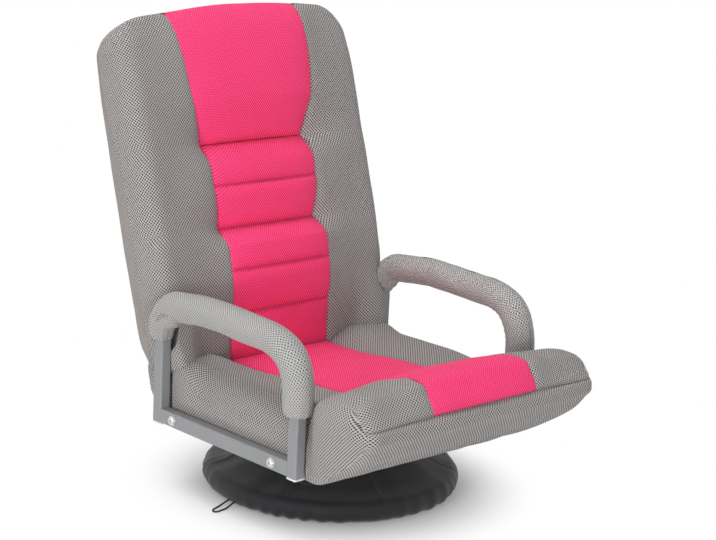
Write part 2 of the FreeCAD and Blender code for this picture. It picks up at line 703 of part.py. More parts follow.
# Back cushion stations: u, middle depth, seam depth, side depth and half width of the coloured panel.
# A seam between two channels is drawn in, deepest at the two waists.
BACK_STATIONS = (
    (0.0, -3.0, -4.0, -3.0, 107.0),
    (36.0, 6.0, 4.0, 4.5, 111.0),
    (73.0, 12.0, 9.0, 11.0, 112.0),
    (109.0, 25.0, 18.0, 17.0, 115.0),
    (146.0, 26.0, 19.0, 18.0, 116.0),
    (182.0, 32.0, 20.0, 18.0, 117.0),
    (219.0, 16.0, 4.0, 14.0, 109.0),
    (255.0, 28.0, 15.0, 16.0, 117.0),
    (292.0, 23.0, 15.0, 17.0, 119.0),
    (328.0, 28.0, 15.0, 17.0, 120.0),
    (365.0, 13.0, 2.0, 14.0, 115.0),
    (402.0, 27.0, 13.0, 17.0, 126.0),
    (445.0, 30.0, 17.0, 18.0, 136.0),
    (500.0, 28.0, 17.0, 16.0, 142.0),
    (548.0, 18.0, 11.0, 10.0, 145.0),
    (578.0, 7.0, 3.0, 1.0, 147.0),
    (596.0, -5.0, -8.0, -10.0, 148.0),
    (606.0, -22.0, -24.0, -26.0, 149.0),
)
HEAD_START = 10
PAD_INNER_X = 90.0


def back_panel_section(u, middle, seam, _side, width):
    """Cross section of the coloured back panel at one height."""
    return wire_of([
        on_back(-width, u, PAD_REAR_V),
        on_back(width, u, PAD_REAR_V),
        on_back(width, u, seam),
        (on_back(0, u, middle), on_back(-width, u, seam)),
    ])


def channel_stations(low, middle, high):
    """Five stations of one stuffed channel: full in the middle, drawn in at both seams."""
    between = []
    for seam in (low, high):
        mixed = [CHANNEL_FULLNESS * m + (1 - CHANNEL_FULLNESS) * s for m, s in zip(middle, seam)]
        mixed[0] = (middle[0] + seam[0]) / 2
        between.append(mixed)
    return low, between[0], middle, between[1], high


def panel_trim_section(u, _middle, _seam, _side, width):
    """Wide section over the coloured panel that trims the side pads to its curved edge."""
    edge = width + SEAT_SEAM_GAP
    return wire_of([
        on_back(-edge, u, PAD_REAR_V - 20), on_back(edge, u, PAD_REAR_V - 20),
        on_back(edge, u, 80), on_back(-edge, u, 80),
    ])


def back_side_section(u, _middle, seam, side, width):
    """Cross section of a grey side pad at one height, left-hand, before its inner edge is trimmed."""
    inner = PAD_INNER_X
    outer = BACK_CORE_X + 6 - 0.07 * max(0.0, u - 575.0) ** 2
    return wire_of([
        on_back(inner, u, PAD_REAR_V),
        on_back(outer, u, PAD_REAR_V),
        on_back(outer, u, side - 6.0),
        (on_back((width + outer) / 2, u, side + 1.0), on_back(width, u, seam)),
        on_back(inner, u, seam),
    ])


# Stations of the rounded edge roll: u, front depth and half width
ROLL_STATIONS = (
    (6.0, -44.0, 243.0),
    (40.0, -34.0, 249.0),
    (100.0, -16.0, 251.0),
    (150.0, -2.0, 252.0),
    (220.0, 5.0, 255.0),
    (320.0, 7.0, 257.5),
    (420.0, 7.0, 256.0),
    (500.0, 5.0, 254.5),
    (540.0, 1.0, 251.0),
    (562.0, -5.0, 244.0),
    (578.0, -14.0, 234.0),
    (587.0, -24.0, 226.0),
)


# Stations of the swollen foot of the roll: u, front depth and half width
LOBE_STATIONS = (
    (30.0, 14.0, 234.0),
    (50.0, 22.0, 236.0),
    (80.0, 21.0, 232.0),
    (115.0, 15.0, 230.0),
    (150.0, 6.0, 232.0),
)
ROLL_SQUEEZE = 0.5


def roll_section(u, front, half):
    """Cross section of the roll that rounds off a side of the back, left-hand."""
    inner = BACK_CORE_X + 0.4
    width = half - inner
    depth = front - REAR_PAD_V
    front_bend = min(0.8 * width, 0.45 * depth)
    rear_bend = min(0.6 * width, 0.4 * depth)
    diag = 1 - math.sqrt(0.5)
    return wire_of([
        on_back(inner, u, REAR_PAD_V),
        on_back(half - rear_bend, u, REAR_PAD_V),
        (on_back(half - rear_bend * diag, u, REAR_PAD_V + rear_bend * diag),
         on_back(half, u, REAR_PAD_V + rear_bend)),
        on_back(half, u, front - front_bend),
        (on_back(half - front_bend * diag, u, front - front_bend * diag),
         on_back(half - front_bend, u, front)),
        on_back(inner, u, front),
    ])


def roll_lobe():
    """Foot of a roll that swells forward between the arm post and the seat, left-hand."""
    wires = []
    for u, front, half in LOBE_STATIONS:
        inner = BACK_CORE_X + 0.4
        bend = 0.75 * (half - inner)
        diag = bend * (1 - math.sqrt(0.5))
        wires.append(wire_of([
            on_back(inner, u, -46), on_back(half, u, -46), on_back(half, u, front - bend),
            (on_back(half - diag, u, front - diag), on_back(half - bend, u, front)),
            on_back(inner, u, front),
        ]))
    return loft(wires)


# Room in front of the foot of the back, for the seat when the back is folded: u and depth
FOLD_ROOM = (
    (-20.0, -7.5),
    (36.0, 6.2),
    (75.0, 14.5),
    (75.0, 70.0),
    (-20.0, 70.0),
)


def build_back_pads():
    """Channelled pad, head pad, side pads, edge rolls, rear pad and the dark rear panel."""
    channels, trims = [], []
    for k in range(CHANNEL_COUNT):
        stations = channel_stations(*BACK_STATIONS[2 * k:2 * k + 3])
        channels.append(loft([back_panel_section(*s) for s in stations]))
        trims.append(loft([panel_trim_section(*s) for s in stations]))
    save("back_channel_pad", one_solid(channels[0].fuse(channels[1:])))
    head_stations = list(BACK_STATIONS[HEAD_START:])
    trims.append(loft([panel_trim_section(*s) for s in head_stations]))
    first = head_stations[0]
    head_stations[0] = (first[0] + SEAT_SEAM_GAP,) + first[1:]
    save("head_pad", loft([back_panel_section(*s) for s in head_stations]))

    side_pad = loft([back_side_section(*s) for s in BACK_STATIONS])
    outside = block((BACK_CORE_X, -100, 0), (BACK_CORE_X + 40, 600, 900))
    fold_room = prism([on_back(-300, u, v) for u, v in FOLD_ROOM], X_AXIS * 600)
    for tool in trims + [outside, fold_room]:
        side_pad = side_pad.cut(tool)
    save_sides("back_side_pad", max(side_pad.removeSplitter().Solids, key=lambda s: s.Volume))

    roll = loft([roll_section(*s) for s in ROLL_STATIONS])
    slot_x = (GEAR_IN_X - 2, GEAR_IN_X + GEAR_T + 0.4)
    slot = prism([
        on_back(slot_x[0], -40, 40), on_back(slot_x[0], 118, 40),
        on_back(slot_x[0], 118, -66), on_back(slot_x[0], -40, -66),
    ], X_AXIS * (slot_x[1] - slot_x[0]))
    arm = arm_tube(-ROLL_SQUEEZE).fuse(arm_sleeve(ROLL_SQUEEZE))
    side_roll = roll.fuse(roll_lobe()).cut(slot).cut(arm)
    save_sides("back_side_roll", max(side_roll.removeSplitter().Solids, key=lambda s: s.Volume))

    corner = 52.0
    diag = corner * (1 - math.sqrt(0.5))
    top = HEAD_TOP_U - 2
    side = BACK_CORE_X

    def slab(front, rear, low_u):
        return prism([
            on_back(-side, low_u, rear), on_back(side, low_u, rear), on_back(side, top - corner, rear),
            (on_back(side - diag, top - diag, rear), on_back(side - corner, top, rear)),
            on_back(-side + corner, top, rear),
            (on_back(-side + diag, top - diag, rear), on_back(-side, top - corner, rear)),
        ], FRONT * (front - rear))

    body = slab(REAR_PAD_FRONT_V, REAR_PAD_V, 0.0)
    lip = slab(PAD_REAR_V - 0.3, REAR_PAD_V, 0.0)
    below_lip = prism([
        on_back(-300, -10, REAR_PAD_V - 5), on_back(300, -10, REAR_PAD_V - 5),
        on_back(300, LIP_U, REAR_PAD_V - 5), on_back(-300, LIP_U, REAR_PAD_V - 5),
    ], FRONT * 100)
    save("back_rear_pad", one_solid(body.fuse(lip.cut(below_lip))))

    rear = REAR_PAD_V - REAR_PANEL_T
    panel_corner = 12.0
    panel_middle = on_back(0, REAR_PANEL_TOP_U / 2 + 5, rear)
    outline = rounded_rect(
        panel_middle, REAR_PANEL_X, REAR_PANEL_TOP_U / 2 - 5, panel_corner, X_AXIS, ALONG
    )
    save("back_rear_panel", Part.Face(outline).extrude(FRONT * REAR_PANEL_T))


def build_back_frame():
    """Bent tube hoop, its cross bars and the straps that carry the front pads."""
    points = [
        on_back(-BACK_TUBE_X, BACK_TUBE_FOOT_U, BACK_TUBE_V),
        on_back(-BACK_TUBE_X, BACK_TUBE_TOP_U, BACK_TUBE_V),
        on_back(BACK_TUBE_X, BACK_TUBE_TOP_U, BACK_TUBE_V),
        on_back(BACK_TUBE_X, BACK_TUBE_FOOT_U, BACK_TUBE_V),
    ]
    path = bent_path(points, (BACK_TUBE_BEND, BACK_TUBE_BEND))
    outer = sweep(path, circle(points[0], BACK_TUBE_R, ALONG))
    inner = sweep(path, circle(points[0], BACK_TUBE_R - TUBE_WALL, ALONG))
    save("back_frame", one_solid(outer.cut(inner)))

    bars = []
    for u in BACK_BAR_US:
        start = on_back(-BACK_TUBE_X, u, BACK_TUBE_V)
        end = on_back(BACK_TUBE_X, u, BACK_TUBE_V)
        bar = rod(start, end, BACK_BAR_R).cut(rod(start, end, BACK_BAR_R - TUBE_WALL))
        bars.append(one_solid(bar.cut(outer)))
    save("back_cross_bars", group(bars))

    straps = []
    strap_v = BACK_TUBE_V + BACK_TUBE_R
    for u in BACK_STRAP_US:
        centre = on_back(0, u, strap_v)
        outline = rounded_rect(centre, BACK_TUBE_X + 4, BACK_STRAP_W / 2, 3.0, X_AXIS, ALONG)
        straps.append(Part.Face(outline).extrude(FRONT * BACK_STRAP_T))
    save("back_webbing", group(straps))


def swivel_plate(low_z, bore_r):
    """Square pressed plate with rounded corners and a middle bore."""
    centre = Vec(0, 0, low_z)
    half = SWIVEL_PLATE / 2
    plate = Part.Face(rounded_rect(centre, half, half, SWIVEL_CORNER, X_AXIS, Y_AXIS))
    plate = plate.extrude(Z_AXIS * SWIVEL_PLATE_T)
    return plate.cut(rod(centre - Z_AXIS, centre + Z_AXIS * (SWIVEL_PLATE_T + 2), bore_r))


def plate_bolt(at, head_dir, shank_length):
    """Small bolt whose head sits on a plate face and whose shank runs the other way."""
    head = rod(at, at + head_dir * PLATE_BOLT_HEAD_H, PLATE_BOLT_HEAD_R)
    return one_solid(head.fuse(rod(at, at - head_dir * shank_length, PLATE_BOLT_R)))


def build_base():
    """Mat, ring, arched cross tubes, swivel bearing, fabric cover and its drawstring."""
    save("base_bottom_mat", rod(Vec(0, 0, 0), Vec(0, 0, MAT_T), MAT_R))
    ring = Part.makeTorus(RING_R, RING_TUBE_R, Vec(0, 0, RING_Z))
    save("base_ring", ring)

    flat_z = LOWER_PLATE_Z - ARCH_TUBE_R
    bolt_holes = []
    lower_spots = []
    for k in range(4):
        angle = k * math.pi / 2
        spot = Vec(LOWER_BOLT_AT * math.cos(angle), LOWER_BOLT_AT * math.sin(angle), LOWER_PLATE_Z)
        lower_spots.append(spot)
        bolt_holes.append(rod(spot - Z_AXIS * 40, spot + Z_AXIS * 20, PLATE_BOLT_R + 0.2))

    def arch(direction, half_only):
        """Bent tube from the ring over the middle, or its one half, outside and bore."""
        rim = RING_R - 4
        points = [
            direction * -rim + Z_AXIS * RING_Z, direction * -ARCH_FLAT_R + Z_AXIS * flat_z,
            direction * ARCH_FLAT_R + Z_AXIS * flat_z, direction * rim + Z_AXIS * RING_Z,
        ]
        radii = (ARCH_BEND, ARCH_BEND)
        if half_only:
            points = points[:2] + [Z_AXIS * flat_z]
            radii = radii[:1]
        path = bent_path(points, radii)
        run = (points[1] - points[0]).normalize()
        skin = sweep(path, circle(points[0], ARCH_TUBE_R, run))
        bore = sweep(path, circle(points[0], ARCH_TUBE_R - TUBE_WALL, run))
        return skin, bore

    long_skin, long_bore = arch(X_AXIS, False)
    cuts = group(bolt_holes)
    tubes = [one_solid(long_skin.cut(long_bore).cut(ring).cut(cuts))]
    for direction in (Y_AXIS, Y_AXIS * -1):
        skin, bore = arch(direction, True)
        tubes.append(one_solid(skin.cut(bore).cut(ring).cut(long_skin).cut(cuts)))
    save("base_cross_tubes", group(tubes))

    lower = swivel_plate(LOWER_PLATE_Z, RIVET_R - HINGE_CLEARANCE).cut(cuts)
    save("swivel_lower_plate", one_solid(lower))
    lower_top = LOWER_PLATE_Z + SWIVEL_PLATE_T
    lower_bolts = [plate_bolt(s + Z_AXIS * SWIVEL_PLATE_T, Z_AXIS, 20.0) for s in lower_spots]
    save("swivel_lower_bolts", group(lower_bolts))

    ball_z = lower_top + 0.3 + BALL_R
    cage = rod(Vec(0, 0, ball_z - 0.8), Vec(0, 0, ball_z + 0.8), BALL_CIRCLE_R + 6)
    cage = cage.cut(rod(Vec(0, 0, ball_z - 2), Vec(0, 0, ball_z + 2), BALL_CIRCLE_R - 6))
    balls = []
    for k in range(BALL_COUNT):
        angle = 2 * math.pi * (k + 0.5) / BALL_COUNT
        spot = Vec(BALL_CIRCLE_R * math.cos(angle), BALL_CIRCLE_R * math.sin(angle), ball_z)
        balls.append(Part.makeSphere(BALL_R, spot))
        cage = cage.cut(rod(spot - Z_AXIS * 3, spot + Z_AXIS * 3, BALL_R + 0.2))
    save("swivel_balls", group(balls))
    save("swivel_ball_cage", one_solid(cage))

    upper_top = UPPER_PLATE_Z + SWIVEL_PLATE_T
    shank = rod(Vec(0, 0, LOWER_PLATE_Z + 0.1), Vec(0, 0, upper_top + 0.4), RIVET_R - HINGE_CLEARANCE)
    flange = rod(Vec(0, 0, upper_top + 0.4), Vec(0, 0, upper_top + 2.4), RIVET_R + 5)
    rivet_bore = rod(Vec(0, 0, LOWER_PLATE_Z - 1), Vec(0, 0, upper_top + 5), RIVET_R - 3)
    save("swivel_rivet", one_solid(shank.fuse(flange).cut(rivet_bore)))

    upper = swivel_plate(UPPER_PLATE_Z, RIVET_R)
    upper_bolts = []
    for x in (-UPPER_BOLT_X, UPPER_BOLT_X):
        for y in (-CROSS_BAR_Y, CROSS_BAR_Y):
            spot = Vec(x, y, UPPER_PLATE_Z)
            upper = upper.cut(rod(spot - Z_AXIS, spot + Z_AXIS * 5, PLATE_BOLT_R + 0.2))
            upper_bolts.append(plate_bolt(spot, Z_AXIS * -1, 9.0))
    save("swivel_upper_plate", one_solid(upper))
    save("swivel_upper_bolts", group(upper_bolts))


def build_base_cover():
    """Fabric cap over the base: a cone from the swivel to the ring, tucked under the rim."""
    rise = COVER_TOP_Z - RING_Z
    reach = RING_R - COVER_TOP_R
    slope = math.acos(COVER_R / math.hypot(rise, reach)) - math.atan2(reach, rise)

    def rim(radius, angle):
        return Vec(RING_R + radius * math.cos(angle), 0, RING_Z + radius * math.sin(angle))

    normal = math.pi / 2 - slope
    hem = math.radians(COVER_HEM_DEG)
    middle = (normal + hem) / 2
    inner_r = COVER_R - COVER_T
    top = Vec(COVER_TOP_R, 0, COVER_TOP_Z)
    top_under = top - Vec(math.cos(normal), 0, math.sin(normal)) * COVER_T
    outline = wire_of([
        top,
        rim(COVER_R, normal),
        (rim(COVER_R, middle), rim(COVER_R, hem)),
        rim(inner_r, hem),
        (rim(inner_r, middle), rim(inner_r, normal)),
        top_under,
    ])
    cover = Part.Face(outline).revolve(Vec(0, 0, 0), Z_AXIS, 360)
    save("base_cover", cover)
    return cover


def build_drawstring(cover):
    """Limp cord loop out of the cover's hem: straight runs joined by the largest arcs that fit."""
    points = [Vec(*p) for p in CORD_ROUTE]
    radii = []
    for before, corner, after in zip(points, points[1:], points[2:]):
        back_run = before - corner
        next_run = after - corner
        turn = math.pi - back_run.getAngle(next_run)
        shorter = min(back_run.Length, next_run.Length)
        radii.append(0.45 * shorter / math.tan(turn / 2))
    print("drawstring radii:", [round(r, 1) for r in radii])
    path = bent_path(points, radii)
    cord = sweep(path, circle(points[0], CORD_R, (points[1] - points[0]).normalize()))
    expected = math.pi * CORD_R ** 2 * path.Length
    print(f"drawstring length {path.Length:.1f} mm, volume {cord.Volume:.0f} of {expected:.0f} mm3")
    save("drawstring_loop", one_solid(cord.cut(cover)))


def main():
    os.makedirs("parts", exist_ok=True)
    build_base()
    build_drawstring(build_base_cover())
    build_seat_frame()
    build_seat_pads()
    build_arms()
    build_hinges()
    build_rear_gusset()
    build_back_frame()
    build_back_pads()


main()
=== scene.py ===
"""Legless swivel floor chair: its soft covers, its finishes and the studio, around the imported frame."""

import json
import logging
import math
from collections.abc import Sequence
from dataclasses import dataclass, field
from enum import Enum

import bmesh
import bpy
import numpy as np
from mathutils import Matrix, Vector

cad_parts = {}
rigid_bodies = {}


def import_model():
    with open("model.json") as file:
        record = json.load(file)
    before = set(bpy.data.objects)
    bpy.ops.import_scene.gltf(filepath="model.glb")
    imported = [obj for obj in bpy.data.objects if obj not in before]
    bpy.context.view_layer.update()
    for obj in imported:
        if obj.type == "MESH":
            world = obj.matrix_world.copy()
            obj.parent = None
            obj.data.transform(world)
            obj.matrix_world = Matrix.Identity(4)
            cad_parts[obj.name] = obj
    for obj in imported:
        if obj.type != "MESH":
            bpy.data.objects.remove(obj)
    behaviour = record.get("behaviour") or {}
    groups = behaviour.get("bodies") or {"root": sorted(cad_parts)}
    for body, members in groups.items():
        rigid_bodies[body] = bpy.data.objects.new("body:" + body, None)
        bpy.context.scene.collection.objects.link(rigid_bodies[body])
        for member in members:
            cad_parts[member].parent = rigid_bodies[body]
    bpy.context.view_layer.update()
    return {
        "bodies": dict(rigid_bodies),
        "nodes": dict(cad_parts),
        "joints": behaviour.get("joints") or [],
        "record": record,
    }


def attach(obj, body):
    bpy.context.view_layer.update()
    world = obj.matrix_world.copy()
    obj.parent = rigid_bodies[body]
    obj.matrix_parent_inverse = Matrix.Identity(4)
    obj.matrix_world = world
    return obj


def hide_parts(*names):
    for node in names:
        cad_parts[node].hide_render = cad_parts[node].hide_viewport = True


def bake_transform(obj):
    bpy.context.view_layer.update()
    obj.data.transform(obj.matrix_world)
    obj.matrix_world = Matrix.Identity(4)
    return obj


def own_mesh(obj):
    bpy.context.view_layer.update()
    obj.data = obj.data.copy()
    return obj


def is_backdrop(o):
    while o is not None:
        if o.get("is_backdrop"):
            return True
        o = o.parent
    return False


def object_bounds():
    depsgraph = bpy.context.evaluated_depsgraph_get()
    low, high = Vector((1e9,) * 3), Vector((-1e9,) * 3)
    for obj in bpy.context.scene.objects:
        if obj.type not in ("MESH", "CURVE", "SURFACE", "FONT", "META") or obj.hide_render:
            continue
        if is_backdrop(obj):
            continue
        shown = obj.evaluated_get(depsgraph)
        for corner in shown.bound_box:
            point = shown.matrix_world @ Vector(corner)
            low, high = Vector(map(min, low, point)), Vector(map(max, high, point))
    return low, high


LOG = logging.getLogger("floor_chair")
Array = np.ndarray
MM = 0.001
WEAVE_UV = "weave"
PLAIN_SHARE = "plain_share"
# Share of painted shade along sewn seams: a darkening that stands in for the shade in their creases
SEAM_SHADE_SHARE = "painted_seam_shade_share"
FULL_TURN = 2.0 * math.pi
QUARTER_TURN = 0.5 * math.pi
ARC_STEPS = 12

# First and last row, and first and last column, of a grid of points
ENDS = (np.s_[0, :], np.s_[-1, :])
SIDES = (np.s_[:, 0], np.s_[:, -1])

# How far a grey cover lies below the pink pad on it, the share of the pad's width where it does, the
# gap along the pad's seams, and a distance beyond the chair, in millimetres
RECESS = 11.0
RECESS_SHARE = 0.975
SEAM_GAP = 0.3
FAR = 999.0


class Body(str, Enum):
    """The moving bodies of the chair."""

    BASE = "base"
    SEAT = "seat"
    BACK = "backrest"


class Slot(str, Enum):
    """The record's material slots that new pieces stand for; the pieces are not given them."""

    PINK = "pink_mesh"
    GREY = "grey_mesh"
    BLACK = "black_fabric"


# Shared maths


def ease(t: Array) -> Array:
    """Smooth step from 0 to 1."""
    t = np.clip(t, 0.0, 1.0)
    return t * t * (3.0 - 2.0 * t)


def round_over(t: Array) -> Array:
    """Quarter-round profile: 0 at an edge, 1 from one radius inside it."""
    return np.sqrt(1.0 - (1.0 - np.clip(t, 0.0, 1.0)) ** 2)


def cusp(t: Array, width: float, power: float = 2.2) -> Array:
    """Sewn groove profile: 1 at the seam, falling to 0 on both sides."""
    return (1.0 - np.clip(np.abs(t) / width, 0.0, 1.0)) ** power


def soft_min(a: Array, b: Array, reach: float) -> Array:
    """Smaller of two values, with a rounded change from one to the other."""
    share = np.clip(0.5 + 0.5 * (b - a) / reach, 0.0, 1.0)
    return b + (a - b) * share - reach * share * (1.0 - share)


def bell(t: Array, width: float) -> Array:
    """Bell-shaped bump."""
    return np.exp(-((t / width) ** 2))


def crowded(count: int, share: float) -> Array:
    """Positions from -1 to 1 that lie closer together towards both ends."""
    turn = np.linspace(-QUARTER_TURN, QUARTER_TURN, count)
    return share * np.sin(turn) + (1.0 - share) * turn / QUARTER_TURN


def travelled(line: Array) -> Array:
    """Distance along a plane line."""
    steps = np.hypot(*np.diff(line[:, :2], axis=0).T)
    return np.concatenate([[0.0], np.cumsum(steps)])


def surface_run(a: Array, b: Array, axis: int) -> Array:
    """Distance over a curved sheet, along one direction of its grid."""
    steps = [np.diff(values, axis=axis, prepend=np.take(values, [0], axis)) for values in (a, b)]
    return np.cumsum(np.hypot(*steps), axis=axis)


def normals(line: Array) -> Array:
    """Unit normals of a plane line, on its right-hand side.

    Args:
        line: Its points, in the first two columns.

    Returns:
        One normal per point.
    """
    run = np.gradient(line[:, :2], axis=0)
    normal = np.stack([run[:, 1], -run[:, 0]], axis=1)
    return normal / np.linalg.norm(normal, axis=1)[:, None]


def swept(line: Array, way: Array, lift: Array) -> tuple[Array, Array]:
    """Profile swept sideways into a sheet, with each point lifted off it."""
    first, second = (line[:, [k]] + way[:, [k]] * lift for k in (0, 1))
    return first, second


@dataclass(frozen=True)
class Swell:
    """Uneven swell of a stuffed surface, from a few crossing waves."""

    height: float
    seed: int
    longest: float
    shortest: float
    waves: int = 7

    def __call__(self, a: Array, b: Array) -> Array:
        """Height of the swell.

        Args:
            a: First surface coordinate, in millimetres.
            b: Second surface coordinate, in millimetres.

        Returns:
            The height at each place, above and below 0.
        """
        draws = np.random.default_rng(self.seed)
        total = np.zeros(np.broadcast(a, b).shape)
        for _ in range(self.waves):
            turn = draws.uniform(0.0, FULL_TURN)
            length = draws.uniform(self.shortest, self.longest)
            phase = draws.uniform(0.0, FULL_TURN)
            along = a * math.cos(turn) + b * math.sin(turn)
            total = total + np.sin(FULL_TURN * along / length + phase)
        return self.height * (total / math.sqrt(2.0 * self.waves))


@dataclass(frozen=True)
class Line:
    """Smooth line through stations, with no overshoot between them."""

    stations: tuple[tuple[float, float], ...]

    def __call__(self, at: Array) -> Array:
        """Height of the line.

        Args:
            at: Where to read it.

        Returns:
            The height at each place.
        """
        table = np.array(sorted(self.stations), float)
        x, y = table[:, 0], table[:, 1]
        span = np.diff(x)
        slope = np.diff(y) / span
        rise = np.zeros_like(y)
        rise[0], rise[-1] = slope[0], slope[-1]
        for k in range(1, len(y) - 1):
            if slope[k - 1] * slope[k] > 0.0:
                one = 2.0 * span[k] + span[k - 1]
                two = span[k] + 2.0 * span[k - 1]
                rise[k] = (one + two) / (one / slope[k - 1] + two / slope[k])
        at = np.clip(np.asarray(at, float), x[0], x[-1])
        k = np.clip(np.searchsorted(x, at) - 1, 0, len(span) - 1)
        t = (at - x[k]) / span[k]
        low = y[k] * (1 + 2 * t) * (1 - t) ** 2 + rise[k] * span[k] * t * (1 - t) ** 2
        high = y[k + 1] * t * t * (3 - 2 * t) + rise[k + 1] * span[k] * t * t * (t - 1)
        return low + high


def respaced(line: Array, count: int) -> tuple[Array, Array]:
    """Even points along a plane line.

    Args:
        line: Points of the line; further columns are carried along.
        count: How many points to return.

    Returns:
        The points and their distance along the line.
    """
    length = travelled(line)
    even = np.linspace(0.0, length[-1], count)
    return np.stack([np.interp(even, length, c) for c in line.T], axis=1), even


def along_curve(points: Sequence[Sequence[float]], count: int) -> tuple[Array, Array]:
    """Even points on a smooth plane curve through given ones.

    Args:
        points: The curve's stations; further columns are carried along.
        count: How many points to return.

    Returns:
        The points and their distance along the curve.
    """
    table = np.array(points, float)
    chord = travelled(table)
    fine = np.linspace(0.0, chord[-1], 40 * len(table))
    return respaced(np.stack([Line(tuple(zip(chord, c)))(fine) for c in table.T], axis=1), count)


def rounded_path(corners: Sequence[tuple[float, float]], radii: Sequence[float], step: float) -> Array:
    """Plane path of straight runs joined by arcs.

    Args:
        corners: Corner points of the path.
        radii: Bend radius at each inner corner.
        step: Spacing of the points.

    Returns:
        Points along the path.
    """
    points = [np.array(corners[0], float)]
    for before, corner, after, radius in zip(corners, corners[1:], corners[2:], radii):
        here = np.array(corner, float)
        back = np.array(before, float) - here
        ahead = np.array(after, float) - here
        back /= np.linalg.norm(back)
        ahead /= np.linalg.norm(ahead)
        half = math.acos(float(np.clip(back @ ahead, -1.0, 1.0))) / 2.0
        middle = back + ahead
        centre = here + middle / np.linalg.norm(middle) * radius / math.sin(half)
        enter = here + back * radius / math.tan(half) - centre
        leave = here + ahead * radius / math.tan(half) - centre
        turn = math.pi - 2.0 * half
        for k in range(ARC_STEPS + 1):
            t = k / ARC_STEPS
            arc = enter * math.sin((1 - t) * turn) + leave * math.sin(t * turn)
            points.append(centre + arc / math.sin(turn))
    points.append(np.array(corners[-1], float))
    table = np.array(points)
    return respaced(table, int(travelled(table)[-1] / step) + 1)[0]


# Mesh building


class Skin:
    """Sewn cover: grids of points joined into one mesh with a weave map in metres."""

    def __init__(self, name: str) -> None:
        """Start an empty cover.

        Args:
            name: Name of the finished piece.
        """
        self.name = name
        self.points: list[Array] = []
        self.maps: list[Array] = []
        self.plain: list[Array] = []
        self.seam_shade: list[Array] = []
        self.faces: list[Array] = []
        self.count = 0

    def grid(
        self,
        points: Array,
        weave: Array,
        flip: bool = False,
        plain: Array | None = None,
        seam_shade: Array | None = None,
    ) -> None:
        """Add one panel.

        Args:
            points: Rows and columns of points, in metres.
            weave: Weave coordinates of the points, in metres.
            flip: Turn the panel's faces round.
            plain: Share of plain cloth at each point; none means open mesh all over.
            seam_shade: Share of painted seam shade at each point, a darkening that stands in for the shade
                in a seam's crease; none means none painted.
        """
        rows, columns = points.shape[:2]
        ids = self.count + np.arange(rows * columns).reshape(rows, columns)
        quads = np.stack([ids[:-1, :-1], ids[:-1, 1:], ids[1:, 1:], ids[1:, :-1]], axis=-1)
        quads = quads.reshape(-1, 4)
        self.faces.append(quads[:, ::-1] if flip else quads)
        self.points.append(points.reshape(-1, 3))
        self.maps.append(weave.reshape(-1, 2))
        for kept, given in ((self.plain, plain), (self.seam_shade, seam_shade)):
            kept.append(np.zeros(rows * columns) if given is None else given.ravel())
        self.count += rows * columns

    def wall(
        self, top: Array, bottom: Array, top_weave: Array, drop: float, rows: int, axis: int = 1
    ) -> None:
        """Add a straight panel between two borders.

        Args:
            top: Points of the first border.
            bottom: Points of the second border.
            top_weave: Weave coordinates of the first border.
            drop: Direction of the weave down the wall, in metres per metre.
            rows: Rows of points in the wall.
            axis: Weave direction that runs down the wall.
        """
        share = np.linspace(0.0, 1.0, rows)[:, None, None]
        points = top[None] * (1 - share) + bottom[None] * share
        depth = np.linalg.norm(bottom - top, axis=1)[None, :] * share[:, :, 0]
        weave = np.repeat(top_weave[None], rows, axis=0).copy()
        weave[:, :, axis] += drop * depth
        self.grid(points, weave)

    def pad(
        self,
        face: Array,
        lining: Array,
        weave: Array,
        borders: Sequence[tuple],
        rows: int = 3,
        flip: bool = False,
        seam_shade: Array | None = None,
    ) -> None:
        """Add a stuffed pad: a face, a lining, and walls between their borders.

        Args:
            face: Points of the face, in metres.
            lining: Points of the lining.
            weave: Weave coordinates of both.
            borders: Index of each border that gets a wall.
            rows: Rows of points in the walls.
            flip: Turn the face and the lining round.
            seam_shade: Share of painted seam shade at each point of the face, a darkening that stands in
                for the shade in a seam's crease.
        """
        self.grid(face, weave, flip, seam_shade=seam_shade)
        self.grid(lining, weave, not flip)
        for border in borders:
            self.wall(face[border], lining[border], weave[border], 1.0, rows)

    def build(self, merge: float = 2e-5) -> bpy.types.Object:
        """Join the panels.

        Args:
            merge: Distance within which border points are joined, in metres.

        Returns:
            The finished object, smooth shaded, with its faces turned outwards.
        """
        points = np.concatenate(self.points)
        faces = np.concatenate(self.faces)
        weave = np.concatenate(self.maps)
        mesh = bpy.data.meshes.new(self.name)
        mesh.from_pydata(points.tolist(), [], faces.tolist())
        layer = mesh.uv_layers.new(name=WEAVE_UV)
        corners = np.empty(len(mesh.loops), np.int32)
        mesh.loops.foreach_get("vertex_index", corners)
        layer.data.foreach_set("uv", weave[corners].astype(np.float32).ravel())
        for label, kept in ((PLAIN_SHARE, self.plain), (SEAM_SHADE_SHARE, self.seam_shade)):
            share = mesh.attributes.new(label, "FLOAT", "POINT")
            share.data.foreach_set("value", np.concatenate(kept).astype(np.float32))
        work = bmesh.new()
        work.from_mesh(mesh)
        bmesh.ops.remove_doubles(work, verts=work.verts, dist=merge)
        bmesh.ops.dissolve_degenerate(work, edges=work.edges, dist=merge)
        bmesh.ops.recalc_face_normals(work, faces=work.faces)
        work.to_mesh(mesh)
        work.free()
        mesh.polygons.foreach_set("use_smooth", np.ones(len(mesh.polygons), bool))
        mesh.update()
        piece = bpy.data.objects.new(self.name, mesh)
        bpy.context.scene.collection.objects.link(piece)
        return piece


def thicken(piece: bpy.types.Object, thickness: float) -> None:
    """Give a sheet its cloth thickness.

    Args:
        piece: The sheet.
        thickness: Thickness in metres, added behind its faces.
    """
    solid = piece.modifiers.new("cloth thickness", "SOLIDIFY")
    solid.thickness = thickness
    solid.offset = -1.0
    bpy.ops.object.select_all(action="DESELECT")
    bpy.context.view_layer.objects.active = piece
    piece.select_set(True)
    bpy.ops.object.modifier_apply(modifier=solid.name)
    piece.select_set(False)


# Materials


Socket = bpy.types.NodeSocket


